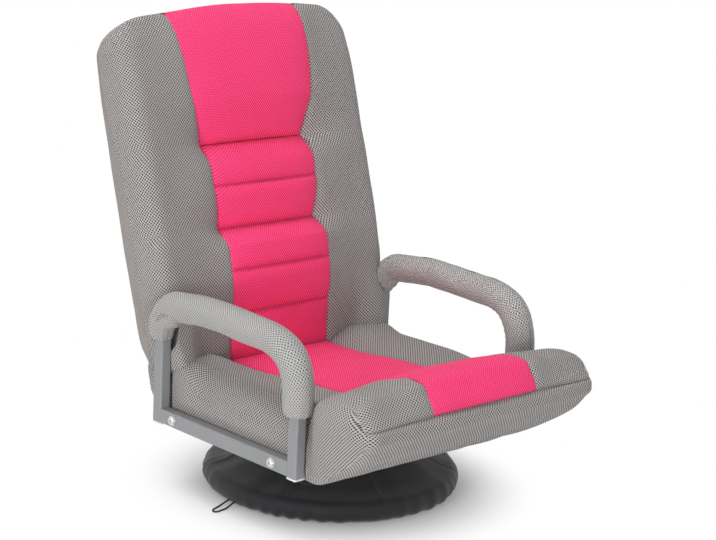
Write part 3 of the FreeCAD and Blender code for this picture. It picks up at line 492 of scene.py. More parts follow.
class NodeSheet:
    """Shorthand for laying out shader nodes."""

    def __init__(self, tree: bpy.types.NodeTree) -> None:
        """Hold the node tree of a material or a group."""
        self.tree = tree

    def add(self, kind: str, **settings: object) -> bpy.types.Node:
        """Add a node.

        Args:
            kind: Blender's name of the node type.
            settings: Properties to set on it.

        Returns:
            The node.
        """
        node = self.tree.nodes.new(kind)
        for key, value in settings.items():
            setattr(node, key, value)
        return node

    def feed(self, socket: Socket, value: object) -> None:
        """Link a socket or set its value.

        Args:
            socket: Input socket.
            value: An output socket, or a plain value.
        """
        if isinstance(value, bpy.types.NodeSocket):
            self.tree.links.new(value, socket)
        else:
            socket.default_value = value

    def fill(self, node: bpy.types.Node, values: dict[str, object]) -> None:
        """Feed several inputs of a node by their names."""
        for label, value in values.items():
            self.feed(node.inputs[label], value)

    def math(self, operation: str, *values: object) -> Socket:
        """Add a Math node.

        Args:
            operation: Name of the operation.
            values: Inputs, sockets or numbers.

        Returns:
            The node's output.
        """
        node = self.add("ShaderNodeMath", operation=operation)
        for socket, value in zip(node.inputs, values):
            self.feed(socket, value)
        return node.outputs[0]

    def blend(self, share: object, first: object, second: object) -> Socket:
        """Mix two colours.

        Args:
            share: How much of the second colour shows.
            first: First colour.
            second: Second colour.

        Returns:
            The mixed colour.
        """
        node = self.add("ShaderNodeMix", data_type="RGBA")
        self.feed(node.inputs[0], share)
        self.feed(node.inputs[6], first)
        self.feed(node.inputs[7], second)
        return node.outputs[2]

    def noise(self, place: Socket, scale: object, detail: float = 2.0) -> Socket:
        """Add a noise pattern.

        Args:
            place: Coordinates it is read at.
            scale: Scale per metre.
            detail: Octaves.

        Returns:
            The pattern, about 0.3 to 0.7.
        """
        node = self.add("ShaderNodeTexNoise")
        self.fill(node, {"Vector": place, "Scale": scale, "Detail": detail})
        return node.outputs["Fac"]

    def step(self, value: Socket, low: object, high: object) -> Socket:
        """Smooth step between two values.

        Args:
            value: Input.
            low: Where the step starts.
            high: Where it ends.

        Returns:
            0 to 1.
        """
        node = self.add("ShaderNodeMapRange", interpolation_type="SMOOTHSTEP")
        self.fill(node, {"Value": value, "From Min": low, "From Max": high})
        return node.outputs["Result"]

    def group(self, tree: bpy.types.NodeTree, values: dict[str, object]) -> bpy.types.Node:
        """Add a shared group.

        Args:
            tree: The group.
            values: Output socket or plain value for each input's name.

        Returns:
            The group's node.
        """
        node = self.add("ShaderNodeGroup", node_tree=tree)
        self.fill(node, values)
        return node

    def bump(self, height: Socket, strength: float, distance: float) -> Socket:
        """Add fine relief.

        Args:
            height: Height of the relief.
            strength: How much of it shows.
            distance: Its full height, in metres.

        Returns:
            The bent normal.
        """
        node = self.add("ShaderNodeBump")
        self.fill(node, {"Height": height, "Strength": strength, "Distance": distance})
        return node.outputs[0]

    def looks(self) -> Socket:
        """Tell the rays that show a surface from those that only light others.

        Returns:
            1 for rays of the camera, of reflections and through clear pieces, 0 for the rest.
        """
        path = self.add("ShaderNodeLightPath")
        seen = self.math("MAXIMUM", path.outputs["Is Camera Ray"], path.outputs["Is Glossy Ray"])
        return self.math("MAXIMUM", seen, path.outputs["Is Transmission Ray"])


def linear(red: int, green: int, blue: int) -> tuple[float, float, float, float]:
    """Screen colour as a linear shader colour.

    Args:
        red: 0 to 255.
        green: 0 to 255.
        blue: 0 to 255.

    Returns:
        Linear red, green, blue and an alpha of 1.
    """

    def one(value: int) -> float:
        """Undo the screen curve of one channel."""
        share = value / 255.0
        return share / 12.92 if share <= 0.04045 else ((share + 0.055) / 1.055) ** 2.4

    return (one(red), one(green), one(blue), 1.0)


def new_group(
    name: str, inputs: Sequence[tuple[str, str, object]], outputs: Sequence[tuple[str, str]]
) -> tuple[bpy.types.NodeTree, bpy.types.Node, bpy.types.Node]:
    """Start a shader node group.

    Args:
        name: Name of the group.
        inputs: Name, socket type and default of each input.
        outputs: Name and socket type of each output.

    Returns:
        The group, its input node and its output node.
    """
    tree = bpy.data.node_groups.new(name, "ShaderNodeTree")
    for label, kind, default in inputs:
        socket = tree.interface.new_socket(name=label, in_out="INPUT", socket_type=kind)
        if default is not None:
            socket.default_value = default
    for label, kind in outputs:
        tree.interface.new_socket(name=label, in_out="OUTPUT", socket_type=kind)
    return tree, tree.nodes.new("NodeGroupInput"), tree.nodes.new("NodeGroupOutput")


class Effects:
    """The shader groups that the finishes share."""

    def __init__(self) -> None:
        """Build every group once."""
        self.knit = self.build_knit()
        self.cloud = self.build_cloud()
        self.speckle = self.build_speckle()

    @staticmethod
    def build_knit() -> bpy.types.NodeTree:
        """Open spacer mesh: rows of holes, each row shifted by half a hole.

        Returns:
            The group.
        """
        tree, source, sink = new_group(
            "open_knit",
            (
                ("Weave", "NodeSocketVector", None),
                ("Pitch", "NodeSocketFloat", 0.004),
                ("Stretch", "NodeSocketFloat", 1.0),
                ("Hole", "NodeSocketFloat", 0.3),
            ),
            (("Yarn", "NodeSocketFloat"), ("Height", "NodeSocketFloat")),
        )
        sheet = NodeSheet(tree)
        split = sheet.add("ShaderNodeSeparateXYZ")
        sheet.feed(split.inputs[0], source.outputs["Weave"])
        wobble = sheet.noise(source.outputs["Weave"], 60.0, 2.0)
        shift = sheet.math("MULTIPLY", sheet.math("SUBTRACT", wobble, 0.5), 0.5)
        across = sheet.math("DIVIDE", split.outputs[0], source.outputs["Pitch"])
        down = sheet.math("DIVIDE", split.outputs[1], source.outputs["Pitch"])
        down = sheet.math("MULTIPLY", down, source.outputs["Stretch"])
        waves = []
        for sign in ("ADD", "SUBTRACT"):
            turn = sheet.math("ADD", sheet.math(sign, across, down), shift)
            waves.append(sheet.math("COSINE", sheet.math("MULTIPLY", turn, FULL_TURN)))
        total = sheet.math("ADD", waves[0], waves[1])
        height = sheet.math("MULTIPLY_ADD", total, 0.25, 0.5)
        low = sheet.math("SUBTRACT", source.outputs["Hole"], 0.2)
        high = sheet.math("ADD", source.outputs["Hole"], 0.22)
        sheet.fill(sink, {"Yarn": sheet.step(height, low, high), "Height": height})
        return tree

    @staticmethod
    def build_cloud() -> bpy.types.NodeTree:
        """Slow change of shade over a surface.

        Returns:
            The group.
        """
        tree, source, sink = new_group(
            "slow_shade",
            (
                ("Place", "NodeSocketVector", None),
                ("Color", "NodeSocketColor", (0.5, 0.5, 0.5, 1.0)),
                ("Amount", "NodeSocketFloat", 0.1),
                ("Scale", "NodeSocketFloat", 9.0),
            ),
            (("Color", "NodeSocketColor"),),
        )
        sheet = NodeSheet(tree)
        pattern = sheet.noise(source.outputs["Place"], source.outputs["Scale"], 4.0)
        centred = sheet.math("SUBTRACT", pattern, 0.5)
        gain = sheet.math("MULTIPLY", centred, source.outputs["Amount"])
        value = sheet.math("MULTIPLY_ADD", gain, 2.0, 1.0)
        shade = sheet.add("ShaderNodeHueSaturation")
        sheet.fill(shade, {"Color": source.outputs["Color"], "Value": value})
        sheet.feed(sink.inputs["Color"], shade.outputs["Color"])
        return tree

    @staticmethod
    def build_speckle() -> bpy.types.NodeTree:
        """Fine grain of a coating or a moulding.

        Returns:
            The group.
        """
        tree, source, sink = new_group(
            "fine_grain",
            (("Place", "NodeSocketVector", None), ("Scale", "NodeSocketFloat", 900.0)),
            (("Grain", "NodeSocketFloat"), ("Height", "NodeSocketFloat")),
        )
        sheet = NodeSheet(tree)
        height = sheet.noise(source.outputs["Place"], source.outputs["Scale"])
        sheet.fill(sink, {"Grain": sheet.step(height, 0.35, 0.7), "Height": height})
        return tree


def start_material(name: str) -> tuple[bpy.types.Material, NodeSheet, bpy.types.Node]:
    """Start a material with a Principled shader.

    Args:
        name: Name of the material.

    Returns:
        The material, its node sheet and its shader.
    """
    material = bpy.data.materials.new(name)
    material.use_nodes = True
    tree = material.node_tree
    return material, NodeSheet(tree), tree.nodes["Principled BSDF"]


@dataclass(frozen=True)
class Cloth:
    """Knitted or woven cover fabric."""

    name: str
    yarn: tuple[int, int, int]
    hole: tuple[int, int, int]
    plain: tuple[int, int, int]
    pitch: float
    stretch: float = 0.95
    open_share: float = 0.3
    relief: float = 0.0006
    roughness: float = 0.82
    sheen: float = 0.12
    mottle: float = 0.07

    def material(self, effects: Effects) -> bpy.types.Material:
        """Build the fabric's shader.

        Args:
            effects: The shared groups.

        Returns:
            The material.
        """
        material, sheet, shader = start_material(self.name)
        weave = sheet.add("ShaderNodeUVMap", uv_map=WEAVE_UV).outputs[0]
        place = sheet.add("ShaderNodeTexCoord").outputs["Object"]
        knit = sheet.group(
            effects.knit,
            {"Weave": weave, "Pitch": self.pitch, "Stretch": self.stretch, "Hole": self.open_share},
        )
        colour = sheet.blend(knit.outputs["Yarn"], linear(*self.hole), linear(*self.yarn))
        # The plain share mixes in the real plain cloth colour; the seam share paints shade along sewn seams
        # in the hole colour, standing in for the shade in their creases
        for label, most, shade in ((PLAIN_SHARE, 0.75, self.plain), (SEAM_SHADE_SHARE, 0.4, self.hole)):
            share = sheet.add("ShaderNodeAttribute", attribute_name=label).outputs["Fac"]
            colour = sheet.blend(sheet.math("MULTIPLY", share, most), colour, linear(*shade))
        cloud = sheet.group(
            effects.cloud,
            {"Place": place, "Color": colour, "Amount": self.mottle, "Scale": 7.0},
        )
        rough = sheet.math("MULTIPLY_ADD", knit.outputs["Yarn"], -0.12, self.roughness + 0.1)
        fibre = sheet.noise(place, 1800.0)
        height = sheet.math("MULTIPLY_ADD", fibre, 0.25, knit.outputs["Height"])
        sheet.fill(
            shader,
            {
                "Base Color": cloud.outputs["Color"],
                "Roughness": rough,
                "Normal": sheet.bump(height, 0.7, self.relief),
                "Sheen Weight": self.sheen,
                "Sheen Roughness": 0.5,
                "Specular IOR Level": 0.25,
            },
        )
        return material


@dataclass(frozen=True)
class Coating:
    """Painted, moulded or plated hard surface."""

    name: str
    colour: tuple[int, int, int]
    roughness: float
    metallic: float = 0.0
    grain: float = 900.0
    relief: float = 0.00008
    grain_shade: float = 0.08

    def material(self, effects: Effects) -> bpy.types.Material:
        """Build the coating's shader.

        Args:
            effects: The shared groups.

        Returns:
            The material.
        """
        material, sheet, shader = start_material(self.name)
        place = sheet.add("ShaderNodeTexCoord").outputs["Object"]
        speck = sheet.group(effects.speckle, {"Place": place, "Scale": self.grain})
        full = linear(*self.colour)
        dull = tuple(c * (1.0 - self.grain_shade) for c in full[:3]) + (1.0,)
        colour = sheet.blend(speck.outputs["Grain"], dull, full)
        cloud = sheet.group(
            effects.cloud,
            {"Place": place, "Color": colour, "Amount": 0.06, "Scale": 14.0},
        )
        rough = sheet.math("MULTIPLY_ADD", speck.outputs["Grain"], 0.12, self.roughness - 0.06)
        sheet.fill(
            shader,
            {
                "Base Color": cloud.outputs["Color"],
                "Roughness": rough,
                "Normal": sheet.bump(speck.outputs["Height"], 0.5, self.relief),
                "Metallic": self.metallic,
            },
        )
        return material


@dataclass
class Wardrobe:
    """Every finish of the chair, built once."""

    effects: Effects = field(default_factory=Effects)
    made: dict[str, bpy.types.Material] = field(default_factory=dict)

    def get(self, finish: Cloth | Coating) -> bpy.types.Material:
        """Material of a finish.

        Args:
            finish: The finish.

        Returns:
            Its material, made on first use.
        """
        if finish.name not in self.made:
            self.made[finish.name] = finish.material(self.effects)
        return self.made[finish.name]

    def dress(self, piece: bpy.types.Object, finish: Cloth | Coating, slot: Slot) -> None:
        """Give a new piece its one material.

        Args:
            piece: The piece.
            finish: Its finish.
            slot: The piece's record slot; not used.
        """
        piece.data.materials.clear()
        piece.data.materials.append(self.get(finish))


PINK_MESH = Cloth(
    "pink spacer mesh",
    yarn=(255, 66, 126),
    hole=(112, 0, 18),
    plain=(236, 60, 112),
    pitch=0.0047,
    stretch=0.8,
    open_share=0.28,
    sheen=0.04,
)
GREY_MESH = Cloth(
    "grey spacer mesh",
    yarn=(164, 160, 158),
    hole=(8, 8, 8),
    plain=(130, 126, 123),
    pitch=0.0056,
    open_share=0.40,
)
SLEEVE_MESH = Cloth(
    "pale grey sleeve mesh",
    yarn=(163, 162, 160),
    hole=(48, 47, 46),
    plain=(130, 129, 127),
    pitch=0.0046,
    stretch=0.9,
)
BLACK_CLOTH = Cloth(
    "black base cloth",
    yarn=(22, 23, 27),
    hole=(12, 13, 15),
    plain=(20, 21, 24),
    pitch=0.0011,
    relief=0.0002,
    roughness=0.6,
    sheen=0.2,
    mottle=0.2,
)
DARK_PANEL = Cloth(
    "dark rear cloth",
    yarn=(70, 70, 72),
    hole=(38, 38, 40),
    plain=(56, 56, 58),
    pitch=0.0022,
    relief=0.0003,
    mottle=0.1,
)
GREY_PAINT = Coating("grey powder coat", (129, 130, 132), 0.42, grain=1100.0, relief=0.00006)
BLACK_PAINT = Coating("black powder coat", (34, 34, 36), 0.45, grain=1100.0)
GREY_PLASTIC = Coating("pale grey plastic", (205, 207, 209), 0.4, grain=700.0, grain_shade=0.04)
BLACK_PLASTIC = Coating("black plastic", (28, 28, 30), 0.42, grain=700.0)
ZINC = Coating("bright zinc", (214, 214, 212), 0.34, metallic=0.85, grain=500.0, relief=0.00003)
BLACK_CORD = Coating(
    "black braided cord", (26, 26, 28), 0.75, grain=1600.0, relief=0.0003, grain_shade=0.4
)

SLOT_FINISH = {
    "pink_mesh": GREY_PAINT,
    "grey_mesh": GREY_PAINT,
    "black_fabric": BLACK_PLASTIC,
    "webbing": BLACK_PLASTIC,
    "grey_paint": GREY_PAINT,
    "black_paint": BLACK_PAINT,
    "grey_plastic": GREY_PLASTIC,
    "black_plastic": BLACK_PLASTIC,
    "zinc_steel": ZINC,
}


# Sub-assemblies


@dataclass
class SubAssembly:
    """What every sub-assembly is given."""

    wardrobe: Wardrobe


@dataclass(frozen=True)
class Gathers:
    """Row of small folds at a bend: their height, how far they reach and their spacing."""

    height: float
    reach: float
    spacing: float


@dataclass(frozen=True)
class SleeveFit:
    """How one arm sleeve lies: its rear end, its rear bend and the fold there."""

    name: str
    sign: float
    rear_lift: float
    rear_bend: float
    taper: float
    inner_taper: float
    inner_swell: float
    fold: float
    swell: Swell


@dataclass
class ArmLoops(SubAssembly):
    """The two padded arm sleeves, and the room that they and their posts take up."""

    side_x: float = 252.0
    post_ys: tuple[float, float] = (152.0, -190.0)
    post_reach: float = 14.0
    post_half: float = 10.0
    post_top: float = 300.0
    near_x: float = 190.0
    gap: float = 1.0
    press_blend: float = 5.0
    corners: tuple[tuple[float, float], ...] = (
        (152, 114), (152, 316), (30, 329), (-190, 321), (-190, 114),
    )
    bends: tuple[float, float, float] = (50.0, 300.0, 90.0)
    radius: float = 25.0
    front_radius: float = 14.8
    tube_half: float = 11.6
    rear_end_z: float = 255.0
    front_end_z: float = 212.0
    front_bend: float = 88.0
    front_taper: float = 15.0
    front_bulge: float = 8.0
    bulge_reach: float = 40.0
    inner_swell_at: tuple[float, float] = (52.0, 24.0)
    rear_gathers: Gathers = Gathers(1.3, 34.0, 8.5)
    front_gathers: Gathers = Gathers(0.7, 50.0, 13.0)
    fold_rise: float = 114.0
    fold_run: float = 34.0
    end_pleats: int = 11
    pleat_depth: float = 0.7
    pleat_reach: tuple[float, float] = (16.0, 9.0)
    seam_angle: float = 1.28 * math.pi
    seam_width: float = 0.16
    seam_depth: float = 1.5
    around: int = 56
    fits: tuple[SleeveFit, SleeveFit] = (
        SleeveFit("right", -1.0, 0.0, 109.0, 15.0, 34.0, 8.0, 10.5, Swell(0.55, 4, 90.0, 26.0)),
        SleeveFit("left", 1.0, 13.0, 60.0, 19.0, 0.0, 0.0, 1.5, Swell(0.55, 6, 90.0, 26.0)),
    )
    end_rings: tuple[tuple[float, float], ...] = (
        (1.0, 0.0), (0.93, 0.8), (0.84, -0.5), (0.7, -3.0), (0.0, -3.0),
    )

    def centre_line(self, step: float = 2.5, lift: float = 0.0) -> Array:
        """Centre line of a sleeve, from its rear end over the top to its front end.

        Args:
            step: Spacing of the points, in millimetres.
            lift: How much higher than usual the rear end stops.

        Returns:
            Points as y and z.
        """
        path = rounded_path(self.corners, self.bends, step)
        rear = (path[:, 0] > 100.0) & (path[:, 1] < self.rear_end_z + lift)
        front = (path[:, 0] < -100.0) & (path[:, 1] < self.front_end_z)
        return path[~(rear | front)]

    def yield_room(self, x: Array, y: Array, z: Array) -> Array:
        """Press a cushion's side clear of the sleeves and posts.

        Args:
            x: Cushion points across the chair, in millimetres.
            y: Cushion points along the chair.
            z: Cushion heights.

        Returns:
            The x values after pressing.
        """
        size = np.abs(x)
        limit = np.full(size.shape, FAR)
        near = size > self.near_x
        offset = np.stack([y[near], z[near]], axis=-1)[:, None, :] - self.centre_line(4.0)[None]
        away = np.min(np.hypot(offset[..., 0], offset[..., 1]), axis=1)
        reach = self.radius + self.gap
        room = self.side_x - np.sqrt(np.maximum(reach**2 - away**2, 0.0))
        limit[near] = np.where(away < reach, room, FAR)
        for post_y in self.post_ys:
            t = np.abs(y - post_y) / self.post_reach
            deep = (1.0 - np.clip(t, 0.0, 1.0) ** 4) ** 0.25
            wall = self.side_x + self.post_half - (2.0 * self.post_half + self.gap) * deep
            limit = np.where((t < 1.0) & (z < self.post_top), np.minimum(limit, wall), limit)
        pressed = np.where(limit < FAR, soft_min(size, limit, self.press_blend), size)
        return np.sign(x) * pressed

    def pressed(self, x: Array, y: Array, z: Array) -> Array:
        """Points of a cushion, pressed clear of the arms."""
        return np.stack([self.yield_room(x, y, z), y, z], axis=-1) * MM

    def build(self) -> list[bpy.types.Object]:
        """Make both sleeves."""
        return [self.sleeve(fit) for fit in self.fits]

    def girth(self, s: Array, angle: Array, fit: SleeveFit) -> Array:
        """Radius of a sleeve, with its ends, swells, gathers, fold and seam.

        Args:
            s: Distance along the sleeve from its rear end, in millimetres.
            angle: Angle round the sleeve, 0 on the outside of its bends.
            fit: How the sleeve lies.

        Returns:
            The radius at each point.
        """
        to_front = s[-1, 0] - s
        past_bend = self.front_bend - to_front
        inside = 0.5 - 0.5 * np.cos(angle)
        square = self.tube_half / (np.abs(np.cos(angle)) ** 8 + np.abs(np.sin(angle)) ** 8) ** 0.125
        grown = np.clip((s + 0.5) / (fit.taper + fit.inner_taper * inside), 0.0, 1.0)
        rear_tip = round_over(grown) * (1.0 - inside) + grown * inside
        rear_tip = square + (self.radius - square) * rear_tip
        front_tip = round_over((to_front + 0.5) / self.front_taper)
        front_tip = self.front_radius + (self.radius - self.front_radius) * front_tip
        radius = np.minimum(rear_tip, front_tip)
        radius += self.front_bulge * bell(past_bend, self.bulge_reach) * np.cos(angle)
        middle, reach = self.inner_swell_at
        radius += fit.inner_swell * bell(s - middle, reach) * inside**3
        radius += fit.swell(s, angle * self.radius)
        rear, front = self.rear_gathers, self.front_gathers
        gather = bell(s - fit.rear_bend, rear.reach) * inside**2
        radius += rear.height * gather * np.sin(FULL_TURN * s / rear.spacing + 2.2 * np.sin(angle))
        behind = fit.rear_bend - self.fold_rise * (1.0 - inside) - s
        tuck = ease(behind / 2.0) * np.exp(-np.maximum(behind, 0.0) / self.fold_run)
        radius -= fit.fold * tuck * ease((inside - 0.36) / 0.2)
        crease = front.height * bell(past_bend, front.reach) * inside**2
        radius += crease * np.sin(FULL_TURN * s / front.spacing)
        at_rear, at_front = self.pleat_reach
        end_pleat = np.exp(-s / at_rear) + np.exp(-to_front / at_front)
        radius += self.pleat_depth * end_pleat * np.sin(self.end_pleats * angle + 0.8)
        seam = cusp(angle - self.seam_angle, self.seam_width)
        return radius - self.seam_depth * seam * (1.0 - 0.6 * gather)

    def sleeve(self, fit: SleeveFit) -> bpy.types.Object:
        """Make one sleeve with its closed ends.

        Args:
            fit: How the sleeve lies.

        Returns:
            The sleeve.
        """
        line = self.centre_line(lift=fit.rear_lift)
        outward = normals(line)
        angle = np.linspace(0.0, FULL_TURN, self.around + 1)
        s, around = np.meshgrid(travelled(line), angle, indexing="ij")
        radius = self.girth(s, around, fit)
        x = fit.sign * (self.side_x + radius * np.sin(around))
        points = np.stack([x, *swept(line, outward, radius * np.cos(around))], axis=-1) * MM
        skin = Skin(f"arm_sleeve_{fit.name}")
        skin.grid(points, np.stack([around * self.radius, s], axis=-1) * MM)
        depth = np.linspace(0.0, 0.02, len(self.end_rings))
        weave = np.stack(np.meshgrid(angle * self.radius * MM, depth), axis=-1)
        for row, side in ((0, -1.0), (-1, 1.0)):
            ahead = side * np.array([0.0, -outward[row, 1], outward[row, 0]]) * MM
            centre = np.array([fit.sign * self.side_x, *line[row]]) * MM
            spokes = points[row] - centre
            rings = [centre + spokes * share + ahead * lift for share, lift in self.end_rings]
            skin.grid(np.stack(rings), weave)
        piece = skin.build(6e-5)
        self.wardrobe.dress(piece, SLEEVE_MESH, Slot.GREY)
        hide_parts(f"arm_pad_{fit.name}")
        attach(piece, Body.SEAT.value)
        return piece


@dataclass(frozen=True)
class Pleat:
    """Sewn seam across the back, with its own fall-off above and below."""

    u: float
    above: float
    below: float
    power_above: float
    power_below: float

    def share(self, u: Array) -> Array:
        """How far the cushion is drawn in.

        Args:
            u: Heights along the back.

        Returns:
            1 on the seam, 0 away from it.
        """
        away = u - self.u
        upper = np.clip(1.0 - away / self.above, 0.0, 1.0) ** self.power_above
        lower = np.clip(1.0 + away / self.below, 0.0, 1.0) ** self.power_below
        return np.where(away > 0.0, upper, lower)

    def line(self, u: Array) -> Array:
        """Narrow stitched line of the seam."""
        return cusp(u - self.u, 8.0, 1.5)


@dataclass
class Backrest(SubAssembly):
    """Channelled back cushion: grey cover, pink channels, pink head cushion and dark rear panel."""

    arms: ArmLoops
    hinge_y: float = 141.0
    hinge_z: float = 204.0
    lean: float = math.radians(16.6)
    low_u: float = -12.0
    top_u: float = 604.0
    corner: float = 58.0
    head_corner: float = 40.0
    sway: float = 4.0
    sway_span: tuple[float, float] = (400.0, 200.0)
    edge_pinch: float = 4.0
    edge_draw: tuple[float, float] = (26.0, 2.0)
    deep_draw: float = 24.0
    stitch_draw: float = 6.0
    fine_draw: float = 5.0
    tight_reach: tuple[float, float] = (24.0, 13.0)
    edge_tuck: float = 5.0
    side_groove: float = 3.2
    groove_width: float = 3.4
    piping_dip: float = 6.0
    piping_reach: float = 7.0
    pucker_height: float = 2.4
    pucker_reach: float = 36.0
    pucker_start: float = 8.0
    lobe_x: tuple[float, float] = (172.0, 46.0)
    pad_thickness: float = 16.0
    # Half width of the painted shade along the sewn seams, in millimetres
    seam_shade_width: float = 4.2
    pink_swell: Swell = Swell(0.8, 11, 110.0, 38.0)
    side_swell: Swell = Swell(1.2, 23, 170.0, 60.0)
    rear_swell: Swell = Swell(1.5, 31, 220.0, 90.0)
    panel_swell: Swell = Swell(0.7, 47, 190.0, 70.0)
    edge_round: Line = Line(((-20, 15), (40, 18), (110, 36), (200, 38), (610, 38)))
    edge_power: float = 2.7
    rear_v: float = -79.0
    rear_round: float = 62.0
    rear_depth: Line = Line(((-20, -54), (0, -61), (50, -76), (90, -79), (610, -79)))
    head_u: float = 365.0
    deep_seams: tuple[Pleat, Pleat] = (
        Pleat(219.0, 68.0, 33.0, 1.6, 1.3),
        Pleat(365.0, 72.0, 42.0, 1.15, 1.5),
    )
    shallow_seams: tuple[Pleat, Pleat, Pleat] = (
        Pleat(73.0, 24.0, 26.0, 2.2, 2.2),
        Pleat(146.0, 24.0, 26.0, 2.2, 2.2),
        Pleat(292.0, 24.0, 26.0, 2.2, 2.2),
    )
    fold_keep: float = 0.86
    boot_x: float = 216.0
    boot_depth: float = 12.0
    boot_end: float = 14.0
    boot_path: tuple[tuple[float, float, float], ...] = (
        (16, -17, 15), (32, -34, 20), (50, -46, 19), (75, -47, 17), (105, -47, 17), (126, -47, 14),
    )
    panel_half: float = 150.0
    panel_span: tuple[float, float] = (10.0, 440.0)
    panel_fill: float = 1.6
    panel_cord: float = 2.6
    half_width: Line = Line(
        (
            (-20, 232), (-8, 236), (3, 244), (25, 248), (40, 251), (70, 254), (100, 256), (150, 259),
            (220, 261), (460, 261), (520, 260), (610, 257),
        )
    )
    wide_depth: Line = Line(
        (
            (-20, -42), (60, -34), (140, -28), (220, -26), (535, -25), (580, -18), (597, -9), (604, -4),
        )
    )
    side_seam: Line = Line(
        (
            (-20, -48), (60, -42), (120, -38), (200, -32), (290, -29), (330, -31), (385, -41),
            (440, -50), (490, -56), (540, -60), (610, -62),
        )
    )
    pink_half: Line = Line(
        (
            (-20, 110), (147, 110.5), (220, 112.5), (294, 115), (340, 117), (365, 118.5),
            (402, 124.5), (445, 133), (503, 139), (592, 144.5), (610, 145),
        )
    )
    edge_crest: Line = Line(
        (
            (-20, -5), (0, 1), (36, 11), (73, 24), (109, 36), (146, 43), (182, 44), (219, 40),
            (255, 35.5), (292, 34), (365, 33.5), (445, 34.5), (500, 33.5), (550, 27), (580, 17),
            (595, 7), (604, -4),
        )
    )
    crown_rise: Line = Line(
        (
            (-20, 0), (0, 0.5), (40, 3), (109, 6.5), (182, 7.5), (255, 8), (328, 8), (402, 8),
            (460, 9), (520, 7), (560, 4), (590, 1), (604, 0),
        )
    )
    foot_lobe: Line = Line(
        (
            (-20, 22), (0, 27), (25, 29), (60, 29), (100, 29), (150, 31), (180, 0), (610, -99),
        )
    )
    side_crest: Line = Line(
        (
            (-20, -6), (0, 0), (36, 9), (73, 19), (109, 26), (146, 30), (182, 31), (238, 32),
            (292, 31.5), (340, 31), (380, 29.5), (416, 29), (460, 28), (505, 24), (551, 15), (580, 6),
            (595, 1), (604, -4),
        )
    )

    def place(self, x: Array, u: Array, v: Array) -> Array:
        """Points of the back in the chair's frame.

        Args:
            x: Across the chair, in millimetres.
            u: Up along the back from the hinge.
            v: Forward from the back's plane.

        Returns:
            Points in metres.
        """
        y = self.hinge_y + math.sin(self.lean) * u - math.cos(self.lean) * v
        z = self.hinge_z + math.cos(self.lean) * u + math.sin(self.lean) * v
        start, run = self.sway_span
        x, y, z = np.broadcast_arrays(x + self.sway * ease((u - start) / run), y, z)
        return np.stack([x, y, z], axis=-1) * MM

    def rows(self, low: float, corner: float, flat: int, bend: int) -> Array:
        """Heights of rows up to the top edge, closer together where it bends over.

        Args:
            low: Height of the first row.
            corner: How far below the top the bend starts.
            flat: Rows up to the bend.
            bend: Rows of the bend, with the one it starts at.

        Returns:
            The heights.
        """
        below = np.linspace(low, self.top_u - corner, flat)
        turn = np.linspace(0.0, QUARTER_TURN, bend)[1:]
        return np.concatenate([below, self.top_u - corner + corner * np.sin(turn)])

    def outline(self, u: Array) -> Array:
        """Half width of the back, with its rounded top corners."""
        t = np.clip((u - (self.top_u - self.corner)) / self.corner, 0.0, 1.0)
        return self.half_width(u) - self.corner * (1.0 - np.sqrt(1.0 - t * t))

    def pink_edge(self, u: Array) -> Array:
        """Half width of the pink panel, drawn in at the two deep seams."""
        return self.pink_half(u) - self.edge_pinch * sum(seam.share(u) for seam in self.deep_seams)

    def seam_edge(self, u: Array) -> Array:
        """Depth of the seam between the pink panel and the grey sides."""
        draws = zip(self.edge_draw, (self.deep_seams, self.shallow_seams))
        return self.edge_crest(u) - sum(draw * seam.share(u) for draw, seams in draws for seam in seams)

    def pink_surface(self, s: Array, u: Array) -> Array:
        """Front of the pink panel.

        Args:
            s: Position across the panel, -1 to 1.
            u: Heights along the back.

        Returns:
            Depth v at each point.
        """
        deep = sum(seam.share(u) for seam in self.deep_seams)
        sharp = sum(seam.line(u) for seam in self.deep_seams)
        shallow = sum(seam.share(u) for seam in self.shallow_seams)
        fine = sum(seam.line(u) for seam in self.shallow_seams)
        tight = sum(Pleat(seam.u, *self.tight_reach, 2.0, 2.0).share(u) for seam in self.deep_seams)
        drawn = self.deep_draw * deep + self.stitch_draw * (shallow + sharp + tight) + self.fine_draw * fine
        middle = self.edge_crest(u) + self.crown_rise(u) - drawn
        crown = (1.0 - np.abs(s) ** 3.2) ** 0.65
        edge = self.seam_edge(u) - self.edge_tuck
        swell = self.pink_swell(s * 120.0, u) * (1.0 - s * s)
        return edge + (middle - edge) * crown + swell

    def grey_surface(self, x: Array, u: Array) -> Array:
        """Front of the grey sides before their outer edge is rounded.

        Args:
            x: Across the chair.
            u: Heights along the back.

        Returns:
            Depth v at each point.
        """
        away = np.maximum(np.abs(x) - self.pink_edge(u), 0.0)
        deep = sum(seam.share(u) for seam in self.deep_seams)
        edge = self.seam_edge(u)
        side = self.side_crest(u)
        rise = 1.0 - np.exp(-away / (24.0 + 8.0 * deep))
        v = edge + (side - edge) * rise - self.piping_dip * np.exp(-away / self.piping_reach)
        v = v + self.side_swell(x + 3.0 * np.sign(x), u) * ease(away / 30.0)
        for seam in self.deep_seams:
            out = away + self.pucker_start
            spread = np.hypot(out, u - seam.u)
            turn = np.arctan2(u - seam.u, out)
            rays = np.cos(5.0 * turn + 0.6 + 0.35 * np.sign(x))
            fold = rays * np.exp(-spread / self.pucker_reach)
            v = v + self.pucker_height * fold * ease((spread - 6.0) / 14.0)
        start, run = self.lobe_x
        lobe = np.maximum(self.foot_lobe(u) - side, 0.0)
        return v + lobe * ease((np.abs(x) - start) / run)

